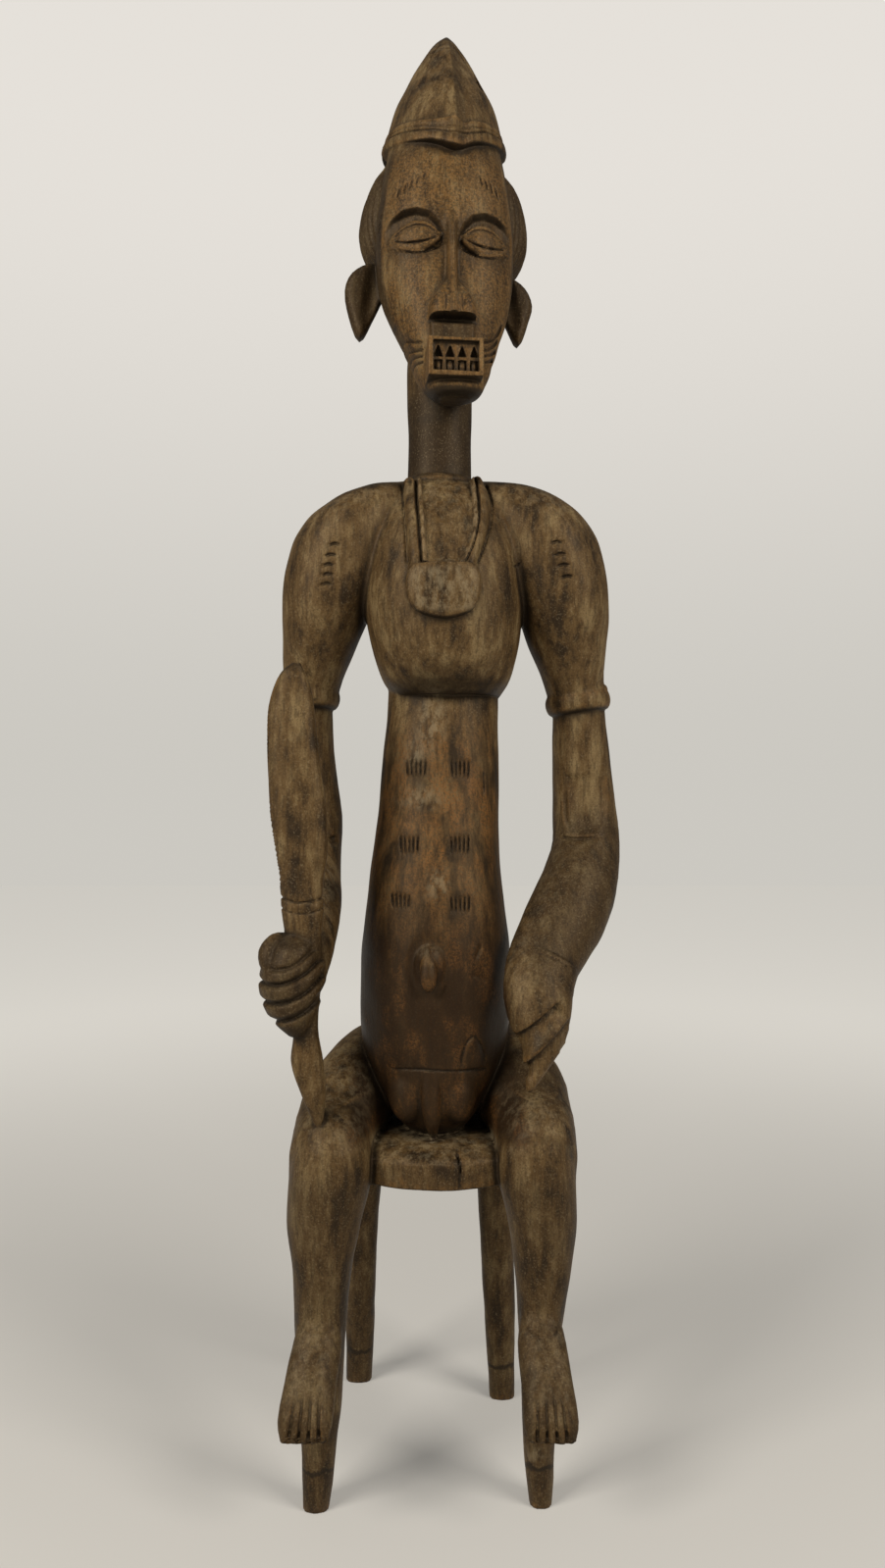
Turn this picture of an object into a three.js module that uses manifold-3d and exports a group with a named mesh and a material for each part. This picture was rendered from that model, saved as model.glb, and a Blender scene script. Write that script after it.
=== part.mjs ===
// Seated figure on a four-legged stool, carved from one block of wood.
// Millimetres, +Z up, the face looks along -Y and +X is the viewer's right.
import * as THREE from 'three';
import { mergeVertices } from 'three/addons/utils/BufferGeometryUtils.js';
import Module from 'manifold-3d';

const wasm = await Module();
wasm.setup();

// Driving heights above the floor, from the stool's feet up to the tip of the hat.
const height = {
  total: 1300,
  brimSide: 1189,
  brimQuarter: 1179,
  brimPoint: 1164,
  browArch: 1112,
  eyeSlit: 1083,
  noseTip: 1012,
  mouthTop: 987,
  mouthBottom: 955,
  chin: 943,
  shoulderTop: 891,
  armband: 692,
  waist: 690,
  elbow: 560,
  fist: 445,
  navel: 456,
  belt: 367,
  seatTop: 307,
  seatUnder: 273,
  ankle: 150,
  floor: 0,
};

// The figure was laid out about the neck's axis. The origin is under the middle of its box.
const neckAxisFromOrigin = { x: -5.2, y: 7.7 };

const headTurn = THREE.MathUtils.degToRad(6.5);
const neckRadius = 29;
const seatRadius = 98;
const seatCentre = { x: -4, y: -8 };
const roundSides = 20;
const slimSides = 14;

// A depth well in front of the figure, where the cutters start.
const clearInFront = -120;

// A vector, for short.
const at = (x, y, z) => new THREE.Vector3(x, y, z);

// A closed three.js geometry becomes a solid that can be joined and cut.
function solid(geometry) {
  const bare = geometry.clone();
  bare.deleteAttribute('normal');
  bare.deleteAttribute('uv');
  const merged = mergeVertices(bare, 1e-4);
  const mesh = new wasm.Mesh({
    numProp: 3,
    vertProperties: new Float32Array(merged.attributes.position.array),
    triVerts: new Uint32Array(merged.index.array),
  });
  return new wasm.Manifold(mesh);
}

const join = (solids) => solids.reduce((whole, next) => whole.add(next));
const cut = (whole, cutters) => cutters.reduce((left, cutter) => left.subtract(cutter), whole);

// Radius of a unit section at an angle: power 2 is an ellipse, more is squarer, less is keeled.
function sectionRadius(along, across, power) {
  const sum = Math.abs(along) ** power + Math.abs(across) ** power;
  return sum < 1e-9 ? 0 : sum ** (-1 / power);
}

// A smooth run of values through stations, read at a fraction of the way.
function runThrough(triples) {
  return new THREE.CatmullRomCurve3(triples.map((triple) => at(...triple)));
}

// A solid with level sections, from the top station down.
// A station is [z, left, right, front, back], and keel is the power of the front half.
function column(stations, { sides = roundSides, rings = stations.length, power = 2.15, keel = power } = {}) {
  const levels = runThrough(stations.map(([z, left, right]) => [(left + right) / 2, (right - left) / 2, z]));
  const depths = runThrough(stations.map(([, , , front, back]) => [front, back, 0]));
  const shape = new THREE.CylinderGeometry(1, 1, 1, sides, rings);
  const points = shape.attributes.position;
  for (let i = 0; i < points.count; i += 1) {
    const across = points.getX(i);
    const forward = points.getZ(i);
    const fraction = 0.5 - points.getY(i);
    const level = levels.getPoint(fraction);
    const depth = depths.getPoint(fraction);
    const radius = sectionRadius(across, forward, forward > 0 ? keel : power);
    const middle = (depth.x + depth.y) / 2;
    const half = (depth.y - depth.x) / 2;
    points.setXYZ(i, level.x + across * radius * level.y, middle - forward * radius * half, level.z);
  }
  return solid(shape);
}

// A limb with sections square to its path, from the top station down.
// A station is [x, y, z, half width, half depth].
function limb(stations, { sides = slimSides, rings = stations.length } = {}) {
  const path = runThrough(stations.map(([x, y, z]) => [x, y, z]));
  const sizes = runThrough(stations.map(([, , , wide, deep]) => [wide, deep, 0]));
  const shape = new THREE.CylinderGeometry(1, 1, 1, sides, rings);
  const points = shape.attributes.position;
  for (let i = 0; i < points.count; i += 1) {
    const across = points.getX(i);
    const forward = points.getZ(i);
    const fraction = 0.5 - points.getY(i);
    const centre = path.getPoint(fraction);
    const back = path.getTangent(fraction).negate();
    const side = at(0, -1, 0).cross(back).normalize();
    if (side.x < 0) side.negate();
    const front = side.clone().cross(back);
    const size = sizes.getPoint(fraction);
    centre.addScaledVector(side, across * size.x).addScaledVector(front, forward * size.y);
    points.setXYZ(i, centre.x, centre.y, centre.z);
  }
  return solid(shape);
}

// An egg shape, with its half sizes, tipped about X and turned about Y in degrees.
function egg(centre, half, { tip = 0, lean = 0, round = 10, tall = 6 } = {}) {
  const shape = new THREE.SphereGeometry(1, round, tall);
  shape.rotateX(Math.PI / 2);
  shape.scale(...half);
  shape.rotateX(THREE.MathUtils.degToRad(tip));
  shape.rotateY(THREE.MathUtils.degToRad(lean));
  shape.translate(...centre);
  return solid(shape);
}

// A flat outline seen from the front, pushed from the depth `front` back by `thick`.
function slab(outline, front, thick, { bevel = 0, curveSteps = 3 } = {}) {
  const shape = new THREE.ExtrudeGeometry(outline, {
    depth: thick - 2 * bevel,
    bevelEnabled: bevel > 0,
    bevelThickness: bevel,
    bevelSize: bevel,
    bevelOffset: -bevel,
    bevelSegments: 1,
    curveSegments: curveSteps,
  });
  shape.rotateX(Math.PI / 2);
  shape.translate(0, front + thick - bevel, 0);
  return solid(shape);
}

// A round cord or strap along a path, with rounded or buried ends.
function cord(route, wide, thick, { sides = 3, steps = 6 } = {}) {
  const section = new THREE.Shape();
  section.absellipse(0, 0, thick / 2, wide / 2, 0, 2 * Math.PI);
  const path = new THREE.CatmullRomCurve3(route.map((point) => at(...point)));
  const shape = new THREE.ExtrudeGeometry(section, { steps, extrudePath: path, curveSegments: sides });
  return solid(shape);
}

// A ring round a limb, given by its middle, its half sizes outside, its thickness and its tilt.
function ring(centre, half, thick, tilt) {
  const shape = new THREE.TorusGeometry(1 - thick / half[0], thick / half[0], 6, slimSides);
  shape.scale(half[0], half[1], half[0]);
  shape.rotateY(THREE.MathUtils.degToRad(tilt));
  shape.translate(...centre);
  return solid(shape);
}

// Hat: a pointed cone with a keel down its front, and a raised band along the brim.
function hat() {
  const bandTall = 16;
  const bandProud = 3;
  const keeled = { keel: 1.7, sides: 18 };
  const lowest = height.brimPoint - 4;
  const cone = column([
    [height.total, 1, 6, -3, 3],
    [height.total - 8, -8, 13, -11, 9],
    [1271, -22, 26, -27, 25],
    [1249, -34, 37, -41, 38],
    [1228, -44, 48, -53, 49],
    [1206, -51, 54, -62, 57],
    [1190, -54, 56, -66, 61],
    [lowest, -56, 58, -70, 64],
  ], { ...keeled, rings: 6 });
  const band = column([
    [1212, -48 - bandProud, 51 + bandProud, -60 - bandProud, 54 + bandProud],
    [1190, -54 - bandProud, 56 + bandProud, -66 - bandProud, 61 + bandProud],
    [lowest, -56 - bandProud, 58 + bandProud, -70 - bandProud, 64 + bandProud],
  ], { ...keeled, rings: 2 });
  const reach = 120;
  const below = slab(brimLine(0), clearInFront, -clearInFront);
  const above = slab(brimLine(bandTall), clearInFront, -clearInFront);
  const behind = slab(plate(-reach, reach, height.brimPoint - reach, height.brimSide - 4), 0, reach);
  const behindBand = behind.translate([0, 0, bandTall]);
  return cut(cone, [below, behind]).add(cut(band.intersect(above.add(behindBand)), [below, behind]));
}

// The area under the brim's lower edge as seen from the front: low at the point, arched at its sides.
function brimLine(lift) {
  const middle = 2;
  const wing = 24;
  const temple = 56;
  const far = 100;
  const low = 1100;
  const edge = new THREE.Shape();
  edge.moveTo(-far, low);
  edge.lineTo(far, low);
  edge.lineTo(far, height.brimSide - 4 + lift);
  edge.lineTo(middle + temple, height.brimSide - 1 + lift);
  edge.quadraticCurveTo(middle + 38, height.brimQuarter + 6 + lift, middle + wing, height.brimQuarter + lift);
  edge.quadraticCurveTo(middle + 10, height.brimPoint + 8 + lift, middle, height.brimPoint + lift);
  edge.quadraticCurveTo(middle - 10, height.brimPoint + 8 + lift, middle - wing, height.brimQuarter + lift);
  edge.quadraticCurveTo(middle - 38, height.brimQuarter + 6 + lift, middle - temple, height.brimSide - 1 + lift);
  edge.lineTo(-far, height.brimSide - 4 + lift);
  return edge;
}

// A rectangle seen from the front.
function plate(left, right, bottom, top) {
  return new THREE.Shape([
    new THREE.Vector2(left, bottom),
    new THREE.Vector2(right, bottom),
    new THREE.Vector2(right, top),
    new THREE.Vector2(left, top),
  ]);
}

// Long face, widest at the eyes, with the jaw carried forward over the neck.
function face() {
  return column([
    [1196, -50, 50, -50, 40],
    [1165, -54, 54, -62, 40],
    [1140, -58, 58, -68, 40],
    [1110, -62, 62, -70, 40],
    [1080, -62, 62, -70, 38],
    [1050, -58, 59, -71, 30],
    [1022, -48, 52, -74, 18],
    [1004, -41, 46, -78, 8],
    [988, -35, 41, -82, 0],
    [970, -28, 33, -87, -14],
    [956, -21, 25, -90, -30],
    [948, -14, 18, -89, -46],
    [height.chin, -7, 10, -82, -62],
  ], { power: 2.3, rings: 10 });
}

// Hair behind the face, widest beside the eyes, drawn in to the nape.
function hair() {
  return column([
    [1196, -50, 54, -20, 54],
    [1166, -67, 74, -24, 65],
    [1127, -76, 83, -26, 73],
    [1102, -70, 78, -22, 71],
    [1082, -54, 62, -12, 64],
    [1050, -34, 42, 0, 52],
    [1010, -26, 32, -8, 40],
    [980, -26, 28, -16, 34],
  ], { power: 2.2, rings: 6, sides: 14 });
}

// Eye socket: an arch sunk into the face, flat along its lower lid.
function eyeSocket(side) {
  const wide = 27;
  const middle = side * 33;
  const outline = new THREE.Shape();
  const corner = height.eyeSlit + 2;
  const lower = height.eyeSlit - 12;
  outline.moveTo(middle - wide, corner);
  outline.quadraticCurveTo(middle - wide, height.browArch, middle, height.browArch);
  outline.quadraticCurveTo(middle + wide, height.browArch, middle + wide, corner);
  outline.quadraticCurveTo(middle + wide * 0.6, lower + 1, middle, lower);
  outline.quadraticCurveTo(middle - wide * 0.6, lower + 1, middle - wide, corner);
  const floorDepth = -61;
  return slab(outline, clearInFront, floorDepth - clearInFront, { curveSteps: 4 });
}

// Eye: an almond that stands up from the socket, closed to a slit.
function eye(side) {
  const almond = egg([side * 31, -56, height.eyeSlit + 3], [22, 12, 12.5], { lean: side * 3 });
  const slit = egg([side * 31, -69, height.eyeSlit], [17, 6, 2.6], { round: 10, tall: 6 });
  return almond.subtract(slit);
}

// Nose: a narrow ridge from the brows that flares to a block with a flat underside.
function nose() {
  const root = -40;
  return column([
    [1120, -8, 8, -71, root],
    [1104, -7, 7, -75, root],
    [1088, -4.5, 4.5, -77, root],
    [1056, -4.5, 4.5, -81, root],
    [1040, -7, 7, -86, root],
    [1030, -15, 15, -91, root],
    [1022, -20, 20, -94, root],
    [height.noseTip, -21, 21, -94, root],
  ], { sides: 10, power: 2.6, rings: 8 });
}

// Mouth: a box that juts out of the jaw below a flat lip, with a raised rim and two rows of filed teeth.
function mouth() {
  const halfWide = 24;
  const rim = 4.5;
  const front = -102;
  const teethFront = front + 4;
  const teethThick = 9;
  const box = slab(plate(-halfWide, halfWide, height.mouthBottom, height.mouthTop), front, 44, { bevel: 1 });
  const inside = plate(-halfWide + rim, halfWide - rim, height.mouthBottom + rim, height.mouthTop - rim);
  const hollow = slab(inside, front - 5, 15);
  const lip = slab(plate(-halfWide, halfWide, height.mouthTop - 6, height.noseTip + 3), -88, 30, { bevel: 1 });
  const teeth = [];
  const pitch = 2 * (halfWide - rim) / 4;
  const bite = (height.mouthTop + height.mouthBottom) / 2;
  const overbite = 1.5;
  for (let i = 0; i < 4; i += 1) {
    const middle = -halfWide + rim + pitch * (i + 0.5);
    const upper = new THREE.Shape();
    upper.moveTo(middle - pitch / 2, height.mouthTop - rim + 1);
    upper.lineTo(middle, bite - overbite);
    upper.lineTo(middle + pitch / 2, height.mouthTop - rim + 1);
    teeth.push(slab(upper, teethFront, teethThick));
    const lower = new THREE.Shape();
    lower.moveTo(middle - pitch / 2, height.mouthBottom + rim - 1);
    lower.lineTo(middle + pitch / 2, height.mouthBottom + rim - 1);
    lower.lineTo(middle + pitch / 5, bite);
    lower.lineTo(middle - pitch / 5, bite);
    teeth.push(slab(lower, teethFront, teethThick));
  }
  return join([box.subtract(hollow), ...teeth, lip]);
}

// Ear: a leaf that stands off the side of the head and points down.
function ear(side) {
  const shift = -3;
  const leaf = new THREE.Shape();
  const top = side < 0 ? 1090 : 1083;
  const wide = side < 0 ? 86.5 : 84;
  leaf.moveTo(shift + side * 54, top);
  leaf.quadraticCurveTo(shift + side * 77, top, side * wide + shift, top - 18);
  leaf.quadraticCurveTo(shift + side * (wide + 3), 1043, side * 74 + shift, 1019);
  leaf.quadraticCurveTo(shift + side * 59, 1036, side * 50 + shift, 1060);
  return slab(leaf, -10, 18, { bevel: 4 });
}

// Head: hat, hair, face and ears, turned a little to the viewer's right on the neck.
function head() {
  const carved = cut(join([face(), hair()]), [eyeSocket(-1), eyeSocket(1)]);
  const features = [eye(-1), eye(1), nose(), mouth(), ear(-1), ear(1)];
  return join([carved, ...features, hat()]).rotate([0, 0, THREE.MathUtils.radToDeg(headTurn)]);
}

// Neck: a plain post from the chest into the jaw.
function neck() {
  const middle = -2.7;
  return column([
    [1010, middle - neckRadius, middle + neckRadius, -26, 34],
    [985, middle - neckRadius - 1, middle + neckRadius + 1, -27, 34],
    [930, middle - neckRadius, middle + neckRadius, -26, 32],
    [870, middle - neckRadius - 1, middle + neckRadius + 1, -28, 33],
  ], { sides: 14, rings: 4 });
}

// Chest: a rounded mass that overhangs the waist.
function chest() {
  return column([
    [height.shoulderTop, -32, 28, -30, 40],
    [876, -46, 46, -46, 52],
    [858, -58, 60, -62, 60],
    [830, -67, 70, -76, 64],
    [800, -70, 72, -85, 63],
    [770, -70, 72, -90, 60],
    [745, -66, 70, -90, 57],
    [725, -59, 64, -84, 53],
    [708, -50, 54, -70, 48],
    [699, -40, 44, -56, 42],
  ], { rings: 10, power: 2.2 });
}

// Trunk: a long column that swells forward to the belly and closes on the seat.
function trunk() {
  return column([
    [740, -48, 50, -46, 46],
    [height.waist, -50, 51, -49, 44],
    [637, -54, 51, -58, 42],
    [588, -58, 51, -67, 42],
    [549, -64, 52, -76, 44],
    [510, -68, 55, -85, 48],
    [469, -72, 60, -92, 55],
    [430, -74, 61, -94, 62],
    [395, -74, 60, -92, 68],
    [358, -66, 52, -86, 70],
    [335, -54, 40, -78, 66],
    [314, -40, 26, -66, 56],
    [height.seatTop - 4, -30, 18, -56, 46],
  ], { rings: 10, power: 2.2 });
}

// Shoulder and upper arm down to the armband. Left is the viewer's left.
function upperArms() {
  const left = [
    [height.shoulderTop - 3, -58, -26, -14, 26],
    [883, -76, -26, -28, 38],
    [876, -94, -26, -37, 44],
    [866, -110, -26, -44, 49],
    [856, -122, -30, -50, 52],
    [837, -135.5, -36, -54, 55],
    [815, -143, -44, -55, 55],
    [790, -146.5, -55, -54, 53],
    [765, -146.5, -68, -50, 49],
    [740, -146, -79, -42, 43],
    [712, -146, -91, -32, 34],
    [684, -146, -100, -24, 31],
  ];
  const right = [
    [height.shoulderTop - 3, 26, 62, -14, 26],
    [883, 26, 84, -28, 38],
    [876, 26, 102, -37, 44],
    [866, 26, 118, -44, 49],
    [856, 30, 129, -50, 52],
    [837, 38, 141.5, -54, 55],
    [815, 46, 148.5, -55, 55],
    [790, 58, 152, -54, 53],
    [765, 70, 152, -50, 49],
    [740, 79, 150, -42, 43],
    [712, 91, 148, -32, 34],
    [684, 100, 148, -24, 31],
  ];
  return [left, right].map((stations) => column(stations, { sides: 14, rings: 8, power: 2.2 }));
}

// Armbands: plain rings where the upper arm ends.
function armbands() {
  const thick = 6.5;
  const left = ring([-123, 4, height.armband + 3], [30, 34], thick, 4);
  const right = ring([125, 4, height.armband - 3], [30, 34], thick, -8);
  return [left, right];
}

// The arm that holds the blade, from the armband to the fist.
function bladeArm() {
  return limb([
    [-122, 3, 712, 24, 28],
    [-125, 5, 680, 23, 26],
    [-124, 12, 625, 25, 28],
    [-121, 14, height.elbow + 22, 27, 30],
    [-119, -6, height.elbow - 22, 26, 28],
    [-115, -44, 505, 25, 26],
    [-114, -80, 474, 22, 24],
    [-118, -104, 452, 20, 22],
  ], { rings: 8 });
}

// The arm that reaches down to the thigh, with its wrist.
function restingArm() {
  return limb([
    [124, 3, 712, 24, 28],
    [126, 5, 680, 24, 27],
    [129, 10, 636, 27, 29],
    [132, 12, 590, 29, 31],
    [133, 6, height.elbow - 4, 31, 32],
    [123, -20, 522, 34.5, 31],
    [110, -40, 496, 36, 28],
    [96.5, -58, 474, 34, 24],
    [85, -74, 455, 31.5, 20],
    [81, -86, 438, 28, 17],
  ], { rings: 10 });
}

// The resting hand: one mass that narrows to the fingertips, parted by two slanting grooves.
function restingHand() {
  const mass = limb([
    [90, -74, 460, 28, 19],
    [81.5, -86, 440, 29.5, 20],
    [81.5, -95, 420, 27, 19.5],
    [83, -102, 400, 21, 17],
    [78, -108, 380, 12, 13],
    [71.5, -113, 359, 3, 5],
  ], { sides: 12, rings: 6 });
  const grooves = [0, 1].map((i) => cord([
    [112 + i, -92, 440 - 22 * i],
    [94 + 2 * i, -110, 424 - 23 * i],
    [70 + 5 * i, -119, 404 - 23 * i],
    [56 + 5 * i, -112, 393 - 23 * i],
  ], 8, 5, { steps: 3 }));
  return cut(mass, grooves);
}

// The fist: one rounded mass round the grip, parted into four fingers by grooves, with a thumb above.
function fist() {
  const mass = column([
    [488, -132, -110, -124, -96],
    [480, -142, -104, -136, -86],
    [466, -149, -98, -142, -78],
    [450, -152.6, -97, -144, -76],
    [436, -150, -100, -142, -78],
    [424, -145, -104, -138, -84],
    [414, -137, -107, -132, -92],
    [405, -127, -112, -124, -100],
  ], { sides: 14, rings: 6 });
  const grooves = [0, 1, 2].map((i) => {
    const drop = 16 * i;
    return cord([
      [-156 + 4 * i, -104, height.fist + 8 - drop],
      [-152 + 4 * i, -128, height.fist + 5 - drop],
      [-128, -146 + 2 * i, height.fist + 7 - drop],
      [-104, -134 + 2 * i, height.fist + 18 - drop],
      [-92, -112, height.fist + 26 - drop],
    ], 7, 5, { steps: 5 });
  });
  const thumb = egg([-139, -122, 471], [11, 14, 16], { lean: 20 });
  return cut(mass, grooves).add(thumb);
}

// The blade: a long leaf on a plain grip that tapers to a point on the thigh.
function blade() {
  const leafFront = -112;
  return column([
    [714, -125, -119, leafFront + 8, leafFront + 14],
    [706, -134, -115, leafFront + 3, leafFront + 17],
    [690, -142, -110, leafFront, leafFront + 20],
    [658, -147, -105, leafFront - 4, leafFront + 17],
    [592, -145, -97, leafFront - 8, leafFront + 14],
    [560, -140.5, -95, leafFront - 9, leafFront + 13],
    [524, -134, -99, leafFront - 10, leafFront + 13],
    [510, -133, -98, leafFront - 12, leafFront + 14],
    [486, -130, -100, leafFront - 12, leafFront + 16],
    [440, -127, -102, leafFront - 10, leafFront + 16],
    [406, -124, -103, leafFront - 8, leafFront + 14],
    [383, -126, -99, leafFront - 8, leafFront + 14],
    [352, -116, -97, leafFront - 4, leafFront + 14],
    [326, -106, -100, leafFront + 6, leafFront + 14],
  ], { sides: 10, rings: 12, power: 2 });
}

// Thighs lie on the seat and run out to the knees.
function thighs() {
  const left = [
    [-38, 40, 352, 40, 42],
    [-60, 14, 350, 40, 41],
    [-80, -24, 334, 40, 37],
    [-94, -62, 312, 34, 33],
    [-98, -88, 298, 28, 28],
  ];
  const right = [
    [26, 40, 352, 40, 42],
    [48, 14, 350, 42, 42],
    [68, -24, 336, 42, 38],
    [79, -62, 314, 35, 34],
    [82, -88, 298, 28, 28],
  ];
  return [left, right].map((stations) => limb(stations, { sides: 12, rings: 5 }));
}

// Shins, which run on below the ankles as the stool's front legs.
function frontLegs() {
  const left = [
    [338, -108, -84, -92, -56],
    [326, -118, -70, -108, -44],
    [306, -126, -62, -119, -38],
    [280, -130, -61, -122, -42],
    [242, -132, -69, -119, -50],
    [200, -127, -77, -115, -60],
    [height.ankle, -124, -82, -112, -66],
    [90, -122, -85, -108, -72],
    [50, -119, -90, -105, -76],
    [height.floor, -118, -96, -98, -77],
  ];
  const right = [
    [344, 68, 96, -90, -54],
    [330, 56, 107, -106, -42],
    [306, 48, 112, -117, -36],
    [280, 47, 113, -120, -40],
    [242, 56, 114, -117, -48],
    [200, 61, 109, -112, -56],
    [height.ankle, 65, 101, -108, -60],
    [90, 67, 98, -103, -64],
    [50, 69, 95, -99, -70],
    [height.floor, 74, 93, -92, -71],
  ];
  return [left, right].map((stations) => column(stations, { sides: 12, rings: 8, power: 2.3 }));
}

// Feet: flat paddles that slope down and forward, their toes parted by grooves.
function foot(heelX, toeX, toeHalf) {
  const sole = limb([
    [heelX, -96, height.ankle + 24, 15, 12],
    [heelX, -110, height.ankle, 20, 13],
    [(heelX + toeX) / 2, -126, height.ankle - 22, 21.5, 12],
    [toeX, -144, height.ankle - 48, toeHalf, 10],
    [toeX, -150, height.ankle - 60, toeHalf - 3, 7],
  ], { sides: 10, rings: 5 });
  const toes = 5;
  const grooves = [];
  for (let i = 1; i < toes; i += 1) {
    const across = toeX + toeHalf * (2 * i / toes - 1) * 0.92;
    const inner = THREE.MathUtils.lerp(heelX, across, 0.86);
    const path = [[inner, -139, height.ankle - 24], [across, -161, height.ankle - 60]];
    grooves.push(cord(path, 6, 6, { sides: 2, steps: 1 }));
  }
  return cut(sole, grooves);
}

// The stool's two back legs, splayed from under the seat.
function backLegs() {
  const left = [
    [295, -87, -55, 50, 84],
    [200, -93, -62.5, 70, 101],
    [100, -97, -68, 93, 121],
    [height.floor, -99, -73, 118, 141],
  ];
  const right = [
    [295, 30, 66, 44, 80],
    [200, 35, 69.5, 55, 87],
    [100, 41, 71.5, 69, 97],
    [height.floor, 47, 72, 84, 107],
  ];
  return [left, right].map((stations) => column(stations, { sides: 8, rings: 3, power: 2.6 }));
}

// The stool's round seat, with a rounded edge.
function seat() {
  const underEdge = 3;
  const topEdge = 14;
  const rounded = new THREE.Path();
  rounded.moveTo(0, height.seatUnder);
  rounded.lineTo(seatRadius - underEdge, height.seatUnder);
  rounded.lineTo(seatRadius, height.seatUnder + underEdge);
  rounded.lineTo(seatRadius, height.seatTop - topEdge);
  rounded.quadraticCurveTo(seatRadius, height.seatTop, seatRadius - topEdge, height.seatTop);
  rounded.lineTo(0, height.seatTop);
  const shape = new THREE.LatheGeometry(rounded.getPoints(2), 24);
  shape.rotateX(Math.PI / 2);
  shape.translate(seatCentre.x, seatCentre.y, 0);
  return solid(shape);
}

// Necklace: two straps down the chest and a rounded plaque that hangs on them.
function necklace() {
  const plaque = new THREE.Shape();
  const wide = 31;
  const middle = 1;
  const top = 803;
  const bottom = 755;
  const corner = 20;
  plaque.moveTo(middle - wide, top - 8);
  plaque.lineTo(middle - wide + 5, top);
  plaque.lineTo(middle + wide - 5, top);
  plaque.lineTo(middle + wide, top - 8);
  plaque.lineTo(middle + wide, bottom + corner);
  plaque.quadraticCurveTo(middle + wide, bottom, middle + wide - corner, bottom);
  plaque.lineTo(middle - wide + corner, bottom);
  plaque.quadraticCurveTo(middle - wide, bottom, middle - wide, bottom + corner);
  const strap = (side) => cord([
    [side * 31, 10, 886],
    [side * 31, -24, 885],
    [side * 29, -46, 873],
    [side * 27, -68, 842],
    [side * 23, -84, 800],
  ], 11, 9);
  return [slab(plaque, -97, 24, { bevel: 2.5 }), strap(-1), strap(1)];
}

// Navel and loincloth: a raised teardrop, two lobes below the belt and a tongue between them.
function bellyCarving() {
  const navel = egg([-11, -92, height.navel], [10.5, 9, 18]);
  const lobe = (x, wide) => egg([x, -70, height.belt - 20], [wide, 17, 25], { tip: -12 });
  const tongue = limb([
    [-10, -84, height.belt, 9, 6],
    [-10, -84, height.belt - 24, 8.5, 7],
    [-9, -76, height.belt - 44, 6, 6],
    [-8, -68, height.belt - 58, 2, 3],
  ], { sides: 8, rings: 5 });
  return [navel, lobe(-31, 15), lobe(14, 14), tongue];
}

const whole = join([
  head(),
  neck(),
  chest(),
  trunk(),
  ...upperArms(),
  ...armbands(),
  bladeArm(),
  fist(),
  blade(),
  restingArm(),
  restingHand(),
  ...thighs(),
  ...frontLegs(),
  foot(-103, -110, 22),
  foot(82, 87, 22),
  ...backLegs(),
  seat(),
  ...necklace(),
  ...bellyCarving(),
]).translate([neckAxisFromOrigin.x, neckAxisFromOrigin.y, 0]);

const carved = whole.getMesh();
const geometry = new THREE.BufferGeometry();
geometry.setAttribute('position', new THREE.BufferAttribute(new Float32Array(carved.vertProperties), 3));
geometry.setIndex(new THREE.BufferAttribute(new Uint32Array(carved.triVerts), 1));
geometry.computeVertexNormals();

const darkWood = new THREE.MeshStandardMaterial({ color: 0x5c442b, roughness: 0.55, metalness: 0 });
const figure = new THREE.Mesh(geometry, darkWood);
figure.name = 'figure';

const seatedFigure = new THREE.Group();
seatedFigure.add(figure);

export default seatedFigure;
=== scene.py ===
"""Seated figure on a four-legged stool: the fine carved surface, its old wood and a plain studio.

The carving is worked out as one signed distance field in millimetres, round the neck's axis, with
the face towards -Y. The field is turned into one mesh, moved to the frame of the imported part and
scaled to metres.
"""
import math
from concurrent.futures import ThreadPoolExecutor

import bpy
import numpy as np
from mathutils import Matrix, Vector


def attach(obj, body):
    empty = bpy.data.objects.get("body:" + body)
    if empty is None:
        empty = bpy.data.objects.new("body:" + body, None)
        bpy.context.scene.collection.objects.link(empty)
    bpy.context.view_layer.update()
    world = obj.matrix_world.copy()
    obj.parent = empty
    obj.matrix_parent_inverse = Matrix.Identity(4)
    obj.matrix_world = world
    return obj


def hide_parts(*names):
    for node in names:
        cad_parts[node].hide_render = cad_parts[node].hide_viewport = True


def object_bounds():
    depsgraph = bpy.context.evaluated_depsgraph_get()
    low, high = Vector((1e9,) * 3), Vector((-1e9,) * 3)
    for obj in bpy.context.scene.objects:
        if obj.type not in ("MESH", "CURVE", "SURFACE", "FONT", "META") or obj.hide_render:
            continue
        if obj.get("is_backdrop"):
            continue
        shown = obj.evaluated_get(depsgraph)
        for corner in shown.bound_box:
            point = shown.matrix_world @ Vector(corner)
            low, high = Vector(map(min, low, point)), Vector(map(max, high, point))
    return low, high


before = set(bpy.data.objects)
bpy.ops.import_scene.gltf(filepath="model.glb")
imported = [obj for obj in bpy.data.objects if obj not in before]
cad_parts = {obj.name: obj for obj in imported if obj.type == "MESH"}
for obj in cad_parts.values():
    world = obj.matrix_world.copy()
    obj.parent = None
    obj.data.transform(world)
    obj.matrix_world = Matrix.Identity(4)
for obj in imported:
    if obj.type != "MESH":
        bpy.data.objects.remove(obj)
cad_low, cad_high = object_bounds()

# Driving heights above the floor, in millimetres.
TOP = 1300
BRIM_POINT = 1164
EYE_SLIT = 1083
NOSE_TIP = 1012
MOUTH_TOP = 987
MOUTH_BOTTOM = 955
CHIN = 943
SHOULDER_TOP = 891
ARMBAND = 692
WAIST = 690
ELBOW = 560
NAVEL = 456
FIST = 445
BELT = 367
SEAT_TOP = 307
SEAT_UNDER = 273
ANKLE = 150
FLOOR = 0

# The neck's axis from the origin under the middle of the part, and the turn of the head.
NECK_AXIS = (-5.2, 7.7)
HEAD_TURN = math.radians(6.5)

# Each eye's distance from the middle of the face, and its half width and half height.
EYE_AT = 30.5
EYE_HALF = 23
EYE_TALL = 15.5

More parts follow.
